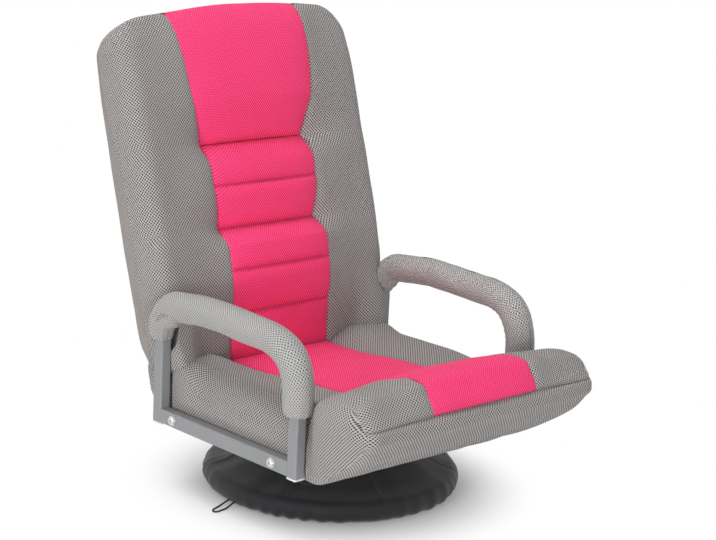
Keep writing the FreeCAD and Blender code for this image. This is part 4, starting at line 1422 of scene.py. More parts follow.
    def columns(self, u: Array) -> tuple[Array, Array, Array]:
        """Columns of the cover, lined up with the pink panel's edges.

        Args:
            u: Heights along the back, one per row.

        Returns:
            The x of each point, the share of the edge round-over, and a mask of the points under the
            pink panel.
        """
        pink = self.pink_edge(u)[:, None]
        wide = self.outline(u)[:, None]
        inner = np.linspace(-1.0, 1.0, 43)[None, 1:-1]
        flat = np.linspace(0.0, 1.0, 20)[None, :-1]
        turn = np.linspace(QUARTER_TURN, 0.0, 25)[None, :]
        power = 2.0 / self.edge_power
        bend = np.cos(turn) ** power
        reach = self.edge_round(u)[:, None]
        start = wide - reach
        right = np.concatenate([pink + (start - pink) * flat, start + reach * np.abs(bend)], axis=1)
        share = np.concatenate([np.ones(flat.shape[1]), np.sin(turn[0]) ** power])
        x = np.concatenate([-right[:, ::-1], pink * RECESS_SHARE * inner, right], axis=1)
        edge = np.concatenate([share[::-1], np.ones(inner.shape[1]), share])
        under = np.zeros(x.shape, bool)
        under[:, len(share):-len(share)] = True
        return x, np.repeat(edge[None], len(u), axis=0), under

    def build(self) -> list[bpy.types.Object]:
        """Make every piece of the back.

        Returns:
            The pieces.
        """
        low = np.linspace(self.low_u, self.head_u - 0.4, 179)
        high = self.rows(self.head_u + 0.4, self.head_corner, 64, 19)
        return [
            self.cover(),
            self.pink_panel("back_channels", low, "back_channel_pad"),
            self.pink_panel("head_cushion", high, "head_pad"),
            self.rear_panel(),
            self.boot("right", -1.0),
            self.boot("left", 1.0),
        ]

    def boot(self, name: str, sign: float) -> bpy.types.Object:
        """Cloth boot over a hinge strap, so that the strap stays covered.

        Args:
            name: Side of the chair.
            sign: -1 for the right side, 1 for the left.

        Returns:
            The boot.
        """
        line, distance = along_curve(self.boot_path, 42)
        to_end = np.minimum(distance, distance[-1] - distance)
        closing = round_over(to_end / self.boot_end)[:, None]
        turn = np.linspace(0.0, FULL_TURN, 41)
        u, v = swept(line, normals(line), line[:, [2]] * closing * np.sin(turn))
        x = sign * (self.boot_x + self.boot_depth * closing * np.cos(turn))
        skin = Skin(f"hinge_boot_{name}")
        skin.grid(self.place(x, u, v), np.stack(np.meshgrid(15.0 * turn, distance), axis=-1) * MM)
        piece = skin.build()
        self.wardrobe.dress(piece, GREY_MESH, Slot.GREY)
        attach(piece, Body.BACK.value)
        return piece

    def settle(self, piece: bpy.types.Object, fill: float) -> None:
        """Ride a piece on the back, with a mesh of its own.

        Args:
            piece: The piece.
            fill: How tightly it is stuffed; not used.
        """
        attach(piece, Body.BACK.value)
        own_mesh(piece)

    def crown_top(self, x: Array, u: Array) -> Array:
        """Bow of the top edge."""
        bow = 2.2 - 8.0 * (np.abs(x) / 195.0) ** 2.4 - 6.5 * ease(-x / 170.0)
        return u + bow * np.clip(u / self.top_u, 0.0, 1.0) ** 5

    def cover(self) -> bpy.types.Object:
        """Grey cover: front sides, recess under the pink panel, side seam and rear.

        Returns:
            The cover.
        """
        u = self.rows(self.low_u, self.corner, 130, 23)
        x, edge, under = self.columns(u)
        level = np.repeat(u[:, None], x.shape[1], axis=1)
        wide = self.wide_depth(level)
        pink = self.pink_edge(level)
        s = np.clip(x / pink, -1.0, 1.0)
        front = np.where(under, self.pink_surface(s, level) - RECESS, self.grey_surface(x, level))
        front = wide + (front - wide) * edge
        front[-1] = wide[-1]
        stuffed = edge * round_over((self.top_u - level) / self.rear_round)
        rear = wide + (self.rear_depth(level) - wide) * stuffed
        rear = rear - self.rear_swell(x, level) * stuffed
        climb = surface_run(u, rear[:, x.shape[1] // 2], 0)
        climb = np.repeat((climb + u[-1] - climb[-1])[:, None], x.shape[1], axis=1)
        bowed = self.crown_top(x, level) - np.where(under, 2.5 * ease((level - 560.0) / 40.0), 0.0)
        seam = self.side_seam(level)
        lap = int(np.argmax(under[0])) - 1
        skin = Skin("back_cover")
        for depth, height, flip in ((front, level, False), (rear, climb, True)):
            groove = self.side_groove * bell(depth - seam, self.groove_width)
            groove = groove * np.sign(x) * ease((1.0 - edge) / 0.02)
            points = self.place(x - groove, bowed, depth) / MM
            girth = surface_run(x, depth, 1)
            left, right = girth[:, [lap]], girth[:, [-1 - lap]]
            girth = np.where(x < 0.0, girth - left - pink, girth - right + pink)
            weave = np.stack([np.where(under, x, girth), height], axis=-1) * MM
            plain = ease((seam + 2.0 - depth) / 4.0)
            skin.grid(self.arms.pressed(*np.moveaxis(points, -1, 0)), weave, flip, plain)
        foot = [grid.reshape(*x.shape, 3)[0] for grid in skin.points]
        skin.wall(foot[0], foot[1], skin.maps[0].reshape(*x.shape, 2)[0], -1.0, 6)
        piece = skin.build()
        self.wardrobe.dress(piece, GREY_MESH, Slot.GREY)
        kinds = ("back_side_pad", "back_side_roll")
        nodes = [f"{kind}_{side}" for kind in kinds for side in ("right", "left")]
        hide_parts("back_rear_pad", *nodes)
        self.settle(piece, 0.8)
        return piece

    def pink_panel(self, name: str, rows: Array, node: str) -> bpy.types.Object:
        """One stretch of the pink panel as its own stuffed piece.

        Args:
            name: Name of the piece.
            rows: Heights of its rows, from its lower to its upper seam.
            node: CAD node it stands for.

        Returns:
            The piece.
        """
        share, level = np.meshgrid(crowded(57, 0.55), rows)
        x = share * (self.pink_edge(level) - SEAM_GAP)
        front = self.pink_surface(share, level)
        bowed = self.crown_top(x, level)
        thick = self.pad_thickness * round_over((1.02 - np.abs(share)) / 0.25)
        rear = front - thick - 5.0
        girth = surface_run(x, front, 1)
        girth -= girth[:, [girth.shape[1] // 2]]
        weave = np.stack([girth, surface_run(level, front, 0)], axis=-1) * MM
        # Painted shade along the sewn seams, all but the head seam: a darkening that stands in for the
        # shade in their creases
        sewn = (self.deep_seams[0], *self.shallow_seams)
        seam_shade = sum(cusp(level - seam.u, self.seam_shade_width, 1.0) for seam in sewn)
        face = self.place(x, bowed, front)
        lining = self.place(x * 0.992, bowed, rear)
        skin = Skin(name)
        skin.pad(face, lining, weave, (*ENDS, *SIDES), seam_shade=seam_shade)
        piece = skin.build()
        self.wardrobe.dress(piece, PINK_MESH, Slot.PINK)
        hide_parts(node)
        self.settle(piece, 0.85)
        return piece

    def rear_panel(self) -> bpy.types.Object:
        """Dark cloth panel on the rear, with a corded edge.

        Returns:
            The panel.
        """
        low, high = self.panel_span
        across = np.concatenate([[-1.0], np.linspace(-0.985, 0.985, 41), [1.0]])
        up = np.concatenate([[0.0], np.linspace(0.006, 0.994, 61), [1.0]])
        s, t = np.meshgrid(across, up)
        x = s * self.panel_half
        u = low + (high - low) * t
        border = np.minimum((1.0 - np.abs(s)) * self.panel_half, np.minimum(t, 1.0 - t) * (high - low))
        v = self.rear_v - 1.4 - self.panel_fill * round_over(border / 30.0)
        v = v - self.panel_cord * bell(border - 4.0, 2.4)
        v = v - self.panel_swell(x, u) * ease(border / 40.0)
        outer = self.place(x, u, v)
        inner = self.place(x, u, np.full_like(v, self.rear_v + 3.0))
        skin = Skin("rear_panel_cloth")
        skin.pad(outer, inner, np.stack([x, u], axis=-1) * MM, (*ENDS, *SIDES), flip=True)
        piece = skin.build()
        self.wardrobe.dress(piece, DARK_PANEL, Slot.BLACK)
        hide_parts("back_rear_panel")
        self.settle(piece, 0.3)
        return piece


@dataclass
class SeatCushion(SubAssembly):
    """Seat with its rolled front edge: grey cover, pink middle and the cloth under it."""

    arms: ArmLoops
    pink_half: Line = Line(((142, 110), (-200, 110), (-290, 115), (-362, 117)))
    rows: int = 130
    side_columns: int = 31
    wall_rows: int = 21
    roll_y: float = -185.0
    roll_centre: tuple[float, float] = (-275.0, 222.0)
    roll_ends: tuple[float, float] = (237.0, 273.0)
    roll_blend: float = 55.0
    tip_fade: float = 26.0
    piping_dip: float = 5.0
    piping_reach: float = 6.5
    pucker_start: float = 14.0
    pucker_reach: float = 26.0
    face_ends: tuple[float, float] = (205.0, 274.0)
    band_ends: tuple[float, float] = (216.0, 305.0)
    band_crown: float = 2.0
    wall_crease: float = 2.4
    pink_thickness: float = 15.0
    top_swell: Swell = Swell(1.2, 61, 150.0, 55.0)
    band_swell: Swell = Swell(1.6, 67, 120.0, 45.0)
    wall_swell: Swell = Swell(1.0, 71, 90.0, 40.0)
    pink_swell: Swell = Swell(1.0, 83, 130.0, 45.0)
    lining_swell: Swell = Swell(0.7, 91, 90.0, 30.0)
    edge_round: Line = Line(
        (
            (142, 17), (112, 20), (84, 34), (60, 41), (-50, 42), (-130, 40), (-200, 30), (-360, 28),
        )
    )
    end_bulge: Line = Line(
        (
            (142, 1), (112, 4), (60, 9), (-100, 9), (-150, 5), (-176, 1.2), (-205, 1.2), (-250, 9),
            (-300, 14), (-360, 14),
        )
    )
    side_lift: Line = Line(
        (
            (142, 17), (100, 17), (60, 14), (0, 9), (-50, 5), (-100, 0), (-145, -6), (-190, -9),
            (-360, -10),
        )
    )
    top: tuple[tuple[float, float, float], ...] = (
        (140, 199, 238), (125, 200.5, 239.5), (69, 201, 240), (30, 203.5, 240), (0, 207, 240),
        (-64, 212.5, 240), (-110, 214.5, 240), (-143, 217, 240), (-160, 222.5, 240),
        (-190, 238.5, 241), (-235, 262, 250), (-266, 272.5, 254), (-298, 281, 254), (-323, 279, 254),
        (-340, 261, 254), (-350.5, 240.5, 254), (-351, 233.5, 254), (-346, 229.5, 254),
    )
    under: tuple[tuple[float, float, float], ...] = (
        (140, 104, 238), (60, 103, 240), (-100, 102, 240), (-190, 101, 240), (-206, 102, 242),
        (-250, 119.5, 252), (-295, 147, 254), (-330, 173, 254), (-350, 198, 254), (-361, 212, 254),
        (-359.5, 223, 254), (-352.5, 228, 254), (-346, 229.5, 254),
    )
    lining_half: float = 233.0
    lining_span: tuple[float, float] = (-199.0, 138.0)
    lining_hole: float = 84.0
    lining_z: float = 100.4
    plate_z: float = 97.2

    def columns(self, rows: Array) -> tuple[Array, Array]:
        """Columns of the cover, lined up with the pink middle.

        Args:
            rows: Rows of the top as y, z and half width.

        Returns:
            The x of each point, and a mask of the points under the pink middle.
        """
        pink = self.pink_half(rows[:, [0]])
        inner = np.linspace(-1.0, 1.0, 35)[None, 1:-1] * RECESS_SHARE * pink
        t = np.linspace(0.0, 1.0, self.side_columns)
        outer = (0.4 * t + 0.6 * np.sin(QUARTER_TURN * t))[None, :]
        right = pink + (rows[:, [2]] - pink) * outer
        x = np.concatenate([-right[:, ::-1], inner, right], axis=1)
        hidden = np.zeros(x.shape, bool)
        hidden[:, self.side_columns:-self.side_columns] = True
        return x, hidden

    def build(self) -> list[bpy.types.Object]:
        """Make every piece of the seat."""
        return [self.cover(), self.pink_middle(), self.lining()]

    def cover(self) -> bpy.types.Object:
        """Grey cover with skirts, rolled front and front band.

        Returns:
            The cover.
        """
        top, distance = along_curve(self.top, self.rows)
        under = along_curve(self.under, self.rows)[0]
        x, hidden = self.columns(top)
        below = x * (under[:, 2] / top[:, 2])[:, None]
        up = top[:, :2] - under[:, :2]
        thick = np.linalg.norm(up, axis=1)
        up /= np.maximum(thick, 1e-6)[:, None]
        reach = self.edge_round(top[:, 0])
        bend = np.minimum(reach, 0.46 * thick) * (1.0 - ease((self.roll_y - top[:, 0]) / self.roll_blend))
        bend, reach = bend[:, None], reach[:, None]
        d = np.repeat(distance[:, None], x.shape[1], axis=1)
        to_tip = distance[-1] - d
        fade = ease(to_tip / self.tip_fade)
        away = np.abs(x) - self.pink_half(top[:, [0]])
        lift = (2.0 + self.side_lift(top[:, [0]])) * ease(away / 60.0)
        lift = lift - self.piping_dip * np.exp(-np.maximum(away, 0.0) / self.piping_reach)
        lift = np.where(hidden, -RECESS, lift) * fade
        lift = lift + self.top_swell(x, d) * ease(away / 30.0) * fade
        to_side = top[:, [2]] - np.abs(x)
        spread = np.hypot(to_side - self.pucker_start, to_tip)
        turn = np.arctan2(to_tip, to_side - self.pucker_start)
        fold = np.cos(6.0 * turn) * np.exp(-spread / self.pucker_reach)
        lift = lift + fold * ease((spread - 4.0) / 16.0)
        drop = bend * (1.0 - round_over(to_side / reach))
        y, z = swept(top, normals(top), lift)
        y = y - up[:, [0]] * drop - self.drawn_tip(x, to_tip)
        z = z - up[:, [1]] * drop
        share = ease((self.roll_y - y) / self.roll_blend)
        y, z = self.round_end(x, y, z, share, *self.face_ends)
        face = self.arms.pressed(x, y, z)
        rise = 0.8 * bend * (1.0 - round_over((under[:, [2]] - np.abs(below)) / 20.0))
        front = ease((-200.0 - under[:, [0]]) / 60.0) * fade
        crown = self.band_crown * front * (1.0 - (below / 245.0) ** 2)
        y, z = swept(under, -normals(under), self.band_swell(below, d) * front + crown)
        y = y + up[:, [0]] * rise - self.drawn_tip(below, to_tip)
        z = z + up[:, [1]] * rise
        y, z = self.round_end(below, y, z, ease((-225.0 - y) / 70.0), *self.band_ends)
        floor = self.arms.pressed(below, y, z)
        girth = surface_run(x, drop, 1)
        weave = np.stack([girth - girth[:, [girth.shape[1] // 2]], d], axis=-1) * MM
        skin = Skin("seat_cover")
        skin.grid(face, weave)
        skin.grid(floor, np.stack([below, d], axis=-1) * MM, flip=True)
        skin.wall(face[0], floor[0], weave[0], -1.0, 14)
        for side in SIDES:
            self.side_wall(skin, face[side], floor[side], weave[side])
        piece = skin.build(4e-5)
        self.wardrobe.dress(piece, GREY_MESH, Slot.GREY)
        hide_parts("seat_side_pad_right", "seat_side_pad_left", "seat_front_band")
        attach(piece, Body.SEAT.value)
        return piece

    @staticmethod
    def drawn_tip(x: Array, to_tip: Array) -> Array:
        """How far the ends of the front seam are drawn forward."""
        return 5.0 * bell(to_tip, 11.0) * ease((np.abs(x) - 130.0) / 90.0)

    def side_wall(self, skin: Skin, top: Array, bottom: Array, weave: Array) -> None:
        """Close one side of the cover with a stuffed wall, whose middle seam fades away from the front.

        Args:
            skin: Cover to add to.
            top: Upper border, in metres.
            bottom: Lower border, in metres.
            weave: Weave coordinates of the upper border.
        """
        share = np.linspace(0.0, 1.0, self.wall_rows)[:, None]
        points = top[None] * (1 - share[..., None]) + bottom[None] * share[..., None]
        tall = np.linalg.norm(bottom - top, axis=1)[None, :]
        sign = np.sign(top[len(top) // 2, 0])
        y, z = points[..., 1] / MM, points[..., 2] / MM
        over_bar = np.where(y > -205.0, ease((z - 135.0) / 20.0), 1.0)
        upward = 1.0 - 0.3 * ease((-225.0 - y) / 50.0)
        belly = np.sin(math.pi * share**upward) ** 0.9 * ease(tall / 0.075) * over_bar
        belly = belly * (self.end_bulge(y) + self.wall_swell(y, z))
        crease = self.wall_crease * cusp((share - 0.5) * tall / MM, 9.0) * ease((-285.0 - y) / 45.0)
        push = belly * ease(np.arange(len(top)) / 6.0) - crease * np.clip(tall / 0.03, 0.0, 1.0)
        x = self.arms.yield_room(points[..., 0] / MM + sign * push, y, z)
        points[1:-1, :, 0] = x[1:-1] * MM
        fall = np.cumsum(np.linalg.norm(np.diff(points, axis=0, prepend=points[:1]), axis=2), axis=0)
        heading = (bottom - top)[:, 1:] / np.maximum(tall.T, 1e-6)
        middle = self.wall_rows // 2
        unrolled = points[middle, :, 1:] + heading * (fall - fall[middle])[..., None]
        start = int(np.argmin(np.abs(top[:, 1] + 0.1)))
        along, down = np.moveaxis(unrolled[0, start] - unrolled, -1, 0)
        skin.grid(points, np.stack([weave[start, 0] + sign * down, weave[start, 1] + along], axis=-1))

    def round_end(
        self, x: Array, y: Array, z: Array, share: Array, start: float, end: float
    ) -> tuple[Array, Array]:
        """Draw the ends of the rolled front edge in, as on a stuffed pillow.

        Args:
            x: Across the chair, in millimetres.
            y: Along the chair.
            z: Heights.
            share: How far a point belongs to the roll.
            start: Half width at which the roll starts to close in height.
            end: Half width at which it would be closed.

        Returns:
            The y and z values after drawing in.
        """
        near, far = self.roll_ends
        high = np.sqrt(1.0 - np.clip((np.abs(x) - start) / (end - start), 0.0, 0.995) ** 2.2)
        deep = np.sqrt(1.0 - np.clip((np.abs(x) - near) / (far - near), 0.0, 0.995) ** 2)
        forward = np.minimum(y - self.roll_centre[0], 0.0)
        return y - forward * (1.0 - deep) * share, z - (z - self.roll_centre[1]) * (1.0 - high) * share

    def pink_middle(self) -> bpy.types.Object:
        """Pink middle strip from the crease over the rolled front edge.

        Returns:
            The strip.
        """
        top, distance = along_curve(self.top, self.rows)
        share, d = np.meshgrid(crowded(47, 0.55), distance)
        x = share * (self.pink_half(top[:, [0]]) - SEAM_GAP)
        fade = ease((distance[-1] - d) / self.tip_fade) * ease(d / 12.0)
        lift = (-3.5 + 6.5 * (1.0 - np.abs(share) ** 2.6) ** 0.7) * fade
        lift = lift + self.pink_swell(x, d) * (1.0 - share**2) * fade
        way = normals(top)
        face, lining = (
            np.stack([x, *swept(top, way, lift - depth * fade)], axis=-1) * MM
            for depth in (0.0, self.pink_thickness)
        )
        skin = Skin("seat_pink_middle")
        skin.pad(face, lining, np.stack([x, d], axis=-1) * MM, SIDES)
        piece = skin.build(3e-5)
        self.wardrobe.dress(piece, PINK_MESH, Slot.PINK)
        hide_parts("seat_center_pad")
        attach(piece, Body.SEAT.value)
        return piece

    def lining(self) -> bpy.types.Object:
        """Black cloth under the seat, slack at its front edge.

        Returns:
            The cloth.
        """
        half, hole = self.lining_half, self.lining_hole
        front, rear = self.lining_span
        x, y = np.meshgrid(np.linspace(-half, half, 63), np.linspace(rear, front, 47))
        edge = np.minimum(half - np.abs(x), np.minimum(rear - y, y - front))
        sag = 3.2 * ease(edge / 40.0)
        lip = 9.0 * bell(y - front - 12.0, 16.0) * (1.0 - (x / half) ** 4)
        plate = ease((np.maximum(np.abs(x), np.abs(y)) - hole) / 30.0)
        z = self.lining_z - sag - lip + self.lining_swell(x, y) * ease(edge / 15.0)
        z = self.plate_z * (1.0 - plate) + z * plate
        skin = Skin("seat_lining")
        skin.grid(np.stack([x, y, z], axis=-1) * MM, np.stack([x, y], axis=-1) * MM, flip=True)
        keep = ~((np.abs(x) < hole) & (np.abs(y) < hole))
        whole = keep[:-1, :-1] | keep[:-1, 1:] | keep[1:, 1:] | keep[1:, :-1]
        skin.faces[0] = skin.faces[0][whole.ravel()]
        piece = skin.build()
        loose = bmesh.new()
        loose.from_mesh(piece.data)
        bmesh.ops.delete(loose, geom=[v for v in loose.verts if not v.link_faces], context="VERTS")
        loose.to_mesh(piece.data)
        loose.free()
        thicken(piece, 0.0012)
        self.wardrobe.dress(piece, BLACK_CLOTH, Slot.BLACK)
        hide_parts("seat_bottom_cover")
        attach(piece, Body.SEAT.value)
        return piece


@dataclass
class Elbow(SubAssembly):
    """Stuffed elbow behind the crease, sewn to the seat below and to the back above."""

    arms: ArmLoops
    rows: int = 60
    end_draw: float = 4.0
    end_round: float = 18.0
    fold_depth: float = 0.8
    fold_spacing: float = 34.0
    fold_drift: Swell = Swell(0.9, 97, 260.0, 120.0)
    swell: Swell = Swell(0.9, 101, 160.0, 70.0)
    outer: tuple[tuple[float, float, float], ...] = (
        (112, 113, 230), (140, 111.5, 234), (160, 113, 236), (180, 123, 237), (196, 142, 238),
        (208, 167, 238), (215, 192, 236), (220, 220, 231), (224, 250, 225),
    )
    inner: tuple[tuple[float, float, float], ...] = (
        (112, 132, 226), (136, 132, 230), (150, 136, 232), (160, 145, 233), (166, 160, 233),
        (172, 180, 230), (180, 204, 226), (189, 228, 222), (197, 250, 216),
    )
    inner_end: tuple[tuple[float, float, float], ...] = (
        (112, 136, 226), (122, 152, 230), (131, 168, 232), (141, 177, 232.5), (153, 181, 232.5),
        (163, 190, 232), (169, 205, 230), (179, 228, 225), (190, 250, 220),
    )

    def build(self) -> bpy.types.Object:
        """Make the elbow.

        Returns:
            The elbow.
        """
        outer, distance = along_curve(self.outer, self.rows)
        inner, inner_end = (along_curve(path, self.rows)[0] for path in (self.inner, self.inner_end))
        way = normals(outer)
        share, d = np.meshgrid(crowded(61, 0.7), distance)
        x = share * outer[:, [2]]
        to_end = (1.0 - np.abs(share)) * 240.0
        belly = self.end_draw * (1.0 - round_over(to_end / self.end_round))
        folds = self.fold_depth * np.sin(FULL_TURN * d / self.fold_spacing + self.fold_drift(x, d))
        ends = ease(d / 20.0) * ease((distance[-1] - d) / 30.0)
        lift = (folds + self.swell(x, d)) * ends - belly
        end = ease((np.abs(share) - 0.87) / 0.09)[..., None]
        sheets = []
        for line, last, height in ((outer, outer, lift), (inner, inner_end, np.zeros_like(lift))):
            place = line[:, None, :] * (1.0 - end) + last[:, None, :] * end
            y = place[..., 0] + way[:, [0]] * height
            z = place[..., 1] + way[:, [1]] * height
            sheets.append(self.arms.pressed(share * place[..., 2], y, z))
        face, lining = sheets
        weave = np.stack([x, d], axis=-1) * MM
        skin = Skin("crease_elbow")
        skin.pad(face, lining, weave, ENDS, 6)
        for border, drop in zip(SIDES, (-1.0, 1.0)):
            skin.wall(face[border], lining[border], weave[border], drop, 12, axis=0)
        piece = skin.build()
        self.wardrobe.dress(piece, GREY_MESH, Slot.GREY)
        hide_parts("rear_gusset")
        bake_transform(piece)
        return piece


@dataclass
class SwivelBase(SubAssembly):
    """Gathered black cloth over the round base, and its drawstring."""

    pleats: int = 46
    pleat_height: float = 1.5
    hem_start: float = 0.52
    profile: tuple[tuple[float, float], ...] = (
        (104, 77.5), (118, 76), (140, 66), (165, 53.5), (183, 44.5), (197, 40.3), (208.5, 37.2),
        (215.6, 30.2), (218, 20.8), (215.6, 11), (209, 4.2), (203, 1.8),
    )
    cord_route: tuple[tuple[float, float, float], ...] = (
        (-213, 10.5, 9), (-222, 10, 7), (-231, 10.5, 3.4), (-241, 8.5, 1.6), (-251, 5.5, 1.6),
        (-259, 1, 1.6), (-260.5, -6, 1.6), (-254, -8.5, 1.6), (-246, -6.5, 1.6), (-237, -6.5, 1.7),
        (-228, -4.5, 4), (-220, -4, 7.2), (-213, -3, 9),
    )

    def build(self) -> list[bpy.types.Object]:
        """Make the cover and the drawstring."""
        return [self.cover(), self.drawstring()]

    def cover(self) -> bpy.types.Object:
        """Cloth cover, gathered under the rim by its drawstring.

        Returns:
            The cover.
        """
        line, run = along_curve(self.profile, 74)
        length = float(run[-1])
        d, angle = np.meshgrid(run, np.linspace(0.0, FULL_TURN, 461), indexing="ij")
        start = self.hem_start * length
        hem = ease((d - start) / (length - start))
        drift = 0.9 * np.sin(3.0 * angle + 1.0) + 0.6 * np.sin(7.0 * angle + 0.4)
        gathers = np.sin(self.pleats * angle + 2.0 * drift) * (0.55 + 0.45 * np.sin(5.0 * angle + 2.0))
        slack = np.sin(17.0 * angle + 1.4 * drift + d / 60.0) * np.sin(4.0 * angle + 0.7)
        rest = ease(d / 16.0)
        lift = self.pleat_height * gathers * hem**1.5 + slack * rest * (1.0 - 0.5 * hem)
        lift = lift - 1.4 * cusp(np.sin(0.5 * (7.0 * angle + drift)), 0.22) * rest * (1.0 - hem)
        radius, z = swept(line, normals(line), lift - 1.2)
        z = np.maximum(z, 0.9)
        points = np.stack([radius * np.cos(angle), radius * np.sin(angle), z], axis=-1) * MM
        skin = Skin("base_cloth")
        skin.grid(points, np.stack([angle * 200.0, d], axis=-1) * MM)
        piece = skin.build()
        thicken(piece, 0.0011)
        self.wardrobe.dress(piece, BLACK_CLOTH, Slot.BLACK)
        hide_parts("base_cover")
        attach(piece, Body.BASE.value)
        return piece

    def drawstring(self) -> bpy.types.Object:
        """Limp doubled loop of the drawstring, lying on the floor.

        Returns:
            The cord.
        """
        curve = bpy.data.curves.new("drawstring", "CURVE")
        curve.dimensions = "3D"
        curve.bevel_depth = 0.0015
        curve.bevel_resolution = 4
        curve.resolution_u = 10
        spline = curve.splines.new("NURBS")
        spline.points.add(len(self.cord_route) - 1)
        for point, place in zip(spline.points, self.cord_route):
            point.co = (*(c * MM for c in place), 1.0)
        spline.order_u = 3
        spline.use_endpoint_u = True
        piece = bpy.data.objects.new("drawstring", curve)
        bpy.context.scene.collection.objects.link(piece)
        self.wardrobe.dress(piece, BLACK_CORD, Slot.BLACK)
        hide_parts("drawstring_loop")
        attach(piece, Body.BASE.value)
        return piece


@dataclass
class HardParts(SubAssembly):
    """CAD nodes that keep their shape and get a finish."""

    own_finish: tuple[tuple[str, Cloth | Coating], ...] = (
        ("base_bottom_mat", BLACK_PLASTIC),
        ("arm_end_caps", GREY_PLASTIC),
        ("arm_bolts", ZINC),
        ("arm_washers", ZINC),
    )

    def dress(self, frame: dict) -> int:
        """Assign every CAD node a finish by its slot.

        Args:
            frame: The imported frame.

        Returns:
            How many nodes were dressed.
        """
        own = dict(self.own_finish)
        slots = {row["node"]: row["material_slot"] for row in frame["record"]["subparts"]}
        for name, node in frame["nodes"].items():
            material = self.wardrobe.get(own.get(name) or SLOT_FINISH[slots[name]])
            if not node.material_slots:
                node.data.materials.append(material)
            for place in node.material_slots:
                place.material = material
        return len(frame["nodes"])


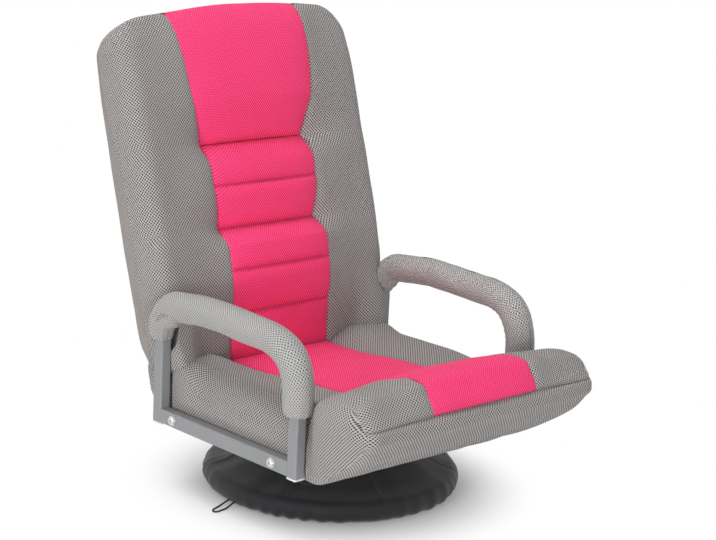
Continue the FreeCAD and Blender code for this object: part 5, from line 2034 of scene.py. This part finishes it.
@dataclass
class Studio:
    """Floor, soft light and the camera at the photograph's angle."""

    azimuth: float = math.radians(43.093)
    elevation: float = math.radians(14.955)
    roll: float = math.radians(2.788)
    distance: float = 3.239333
    focal_px: float = 1919.821
    aim: tuple[float, float, float] = (0.0, 0.0, 0.3)
    lamp_aim: tuple[float, float, float] = (0.0, 0.0, 0.12)
    aim_px: tuple[float, float] = (339.82, 312.557)
    frame_px: tuple[int, int] = (716, 540)
    sensor: float = 36.0

    def camera(self) -> None:
        """Place the camera."""
        a, e, r = self.azimuth, self.elevation, self.roll
        back = Vector((-math.sin(a) * math.cos(e), -math.cos(a) * math.cos(e), math.sin(e)))
        right = Vector((math.cos(a), -math.sin(a), 0.0))
        up = back.cross(right)
        across = (self.aim_px[0] - self.frame_px[0] / 2.0) / self.focal_px
        down = (self.aim_px[1] - self.frame_px[1] / 2.0) / self.focal_px
        ahead = (-back - across * right + down * up).normalized()
        level = ahead.cross(Vector((0.0, 0.0, 1.0))).normalized()
        above = level.cross(ahead)
        cam_right = math.cos(r) * level + math.sin(r) * above
        cam_up = math.cos(r) * above - math.sin(r) * level
        place = Vector(self.aim) + back * self.distance
        data = bpy.data.cameras.new("photo camera")
        data.sensor_width = self.sensor
        data.sensor_fit = "HORIZONTAL"
        data.lens = self.focal_px / self.frame_px[0] * self.sensor
        camera = bpy.data.objects.new("photo camera", data)
        turn = Matrix((cam_right, cam_up, -ahead)).transposed().to_4x4()
        camera.matrix_world = Matrix.Translation(place) @ turn
        bpy.context.scene.collection.objects.link(camera)
        bpy.context.scene.camera = camera

    def floor(self) -> None:
        """Plain pale floor that keeps the shadow near the chair and is white far from it."""
        bpy.ops.object.select_all(action="DESELECT")
        bpy.ops.mesh.primitive_circle_add(
            vertices=96, radius=14.0, fill_type="NGON", location=(0.0, 0.0, -0.0005)
        )
        floor = bpy.context.object
        floor.name = "studio floor"
        bpy.ops.object.transform_apply(location=True)
        material, sheet, shader = start_material("pale floor")
        sheet.fill(
            shader,
            {"Base Color": linear(246, 246, 246), "Roughness": 0.9, "Specular IOR Level": 0.1},
        )
        place = sheet.add("ShaderNodeTexCoord").outputs["Object"]
        reach = sheet.add("ShaderNodeVectorMath", operation="LENGTH")
        sheet.feed(reach.inputs[0], place)
        far = sheet.step(reach.outputs["Value"], 0.16, 0.36)
        white = sheet.add("ShaderNodeEmission")
        mixed = sheet.add("ShaderNodeMixShader")
        sheet.feed(mixed.inputs[0], sheet.math("MULTIPLY", far, sheet.looks()))
        sheet.feed(mixed.inputs[1], shader.outputs[0])
        sheet.feed(mixed.inputs[2], white.outputs[0])
        sheet.feed(material.node_tree.nodes["Material Output"].inputs[0], mixed.outputs[0])
        floor.data.materials.append(material)
        floor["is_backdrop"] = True

    def world(self) -> None:
        """White surroundings that light the chair softly."""
        world = bpy.data.worlds.new("studio")
        bpy.context.scene.world = world
        world.use_nodes = True
        sheet = NodeSheet(world.node_tree)
        world.node_tree.nodes.clear()
        glow = sheet.add("ShaderNodeBackground")
        strength = sheet.math("MULTIPLY_ADD", sheet.looks(), 0.59, 0.41)
        sheet.fill(glow, {"Color": (1.0, 1.0, 1.0, 1.0), "Strength": strength})
        out = sheet.add("ShaderNodeOutputWorld")
        sheet.feed(out.inputs[0], glow.outputs[0])

    def lamps(self) -> None:
        """Three soft lamps: a large one above, and a low one each from the right and from the front."""
        for name, place, size, power, spread in (
            ("lamp above", (-0.8, 0.6, 4.6), 3.0, 142.0, 180.0),
            ("lamp right", (-4.2, -1.4, 0.5), 2.0, 12.2, 44.0),
            ("lamp front", (-1.6, -4.2, 0.3), 2.0, 7.0, 44.0),
        ):
            data = bpy.data.lights.new(name, "AREA")
            data.size = size
            data.energy = power
            data.spread = math.radians(spread)
            lamp = bpy.data.objects.new(name, data)
            aim = Vector(self.lamp_aim) - Vector(place)
            turn = aim.to_track_quat("-Z", "Y").to_matrix().to_4x4()
            lamp.matrix_world = Matrix.Translation(place) @ turn
            bpy.context.scene.collection.objects.link(lamp)

    def build(self) -> None:
        """Set up the whole studio."""
        self.floor()
        self.world()
        self.lamps()
        self.camera()
        bpy.context.scene.view_settings.view_transform = "Standard"


def write_sizes(dressed: object) -> None:
    """Meant for the CAD box and the visual model's box; it defines a helper only and writes nothing.

    Args:
        dressed: Lowest and highest corner of the dressed model; not used.
    """

    def plain(box: object) -> list[list[float]]:
        """Corners as plain lists of numbers."""
        return [[float(c) for c in corner] for corner in box]


def main() -> None:
    """Load the frame, build the soft pieces, dress the hard ones and set up the studio."""
    logging.basicConfig(level=logging.INFO, format="%(name)s: %(message)s")
    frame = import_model()
    wardrobe = Wardrobe()
    arms = ArmLoops(wardrobe)
    made: list[bpy.types.Object] = []
    made += SwivelBase(wardrobe).build()
    made += arms.build()
    made += SeatCushion(wardrobe, arms).build()
    made.append(Elbow(wardrobe, arms).build())
    made += Backrest(wardrobe, arms).build()
    for piece in made:
        LOG.info("made %s in %s", piece.name, piece.data.materials[0].name)
    LOG.info("dressed %d CAD nodes", HardParts(wardrobe).dress(frame))
    Studio().build()
    write_sizes(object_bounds())


if __name__ == "__main__":
    main()
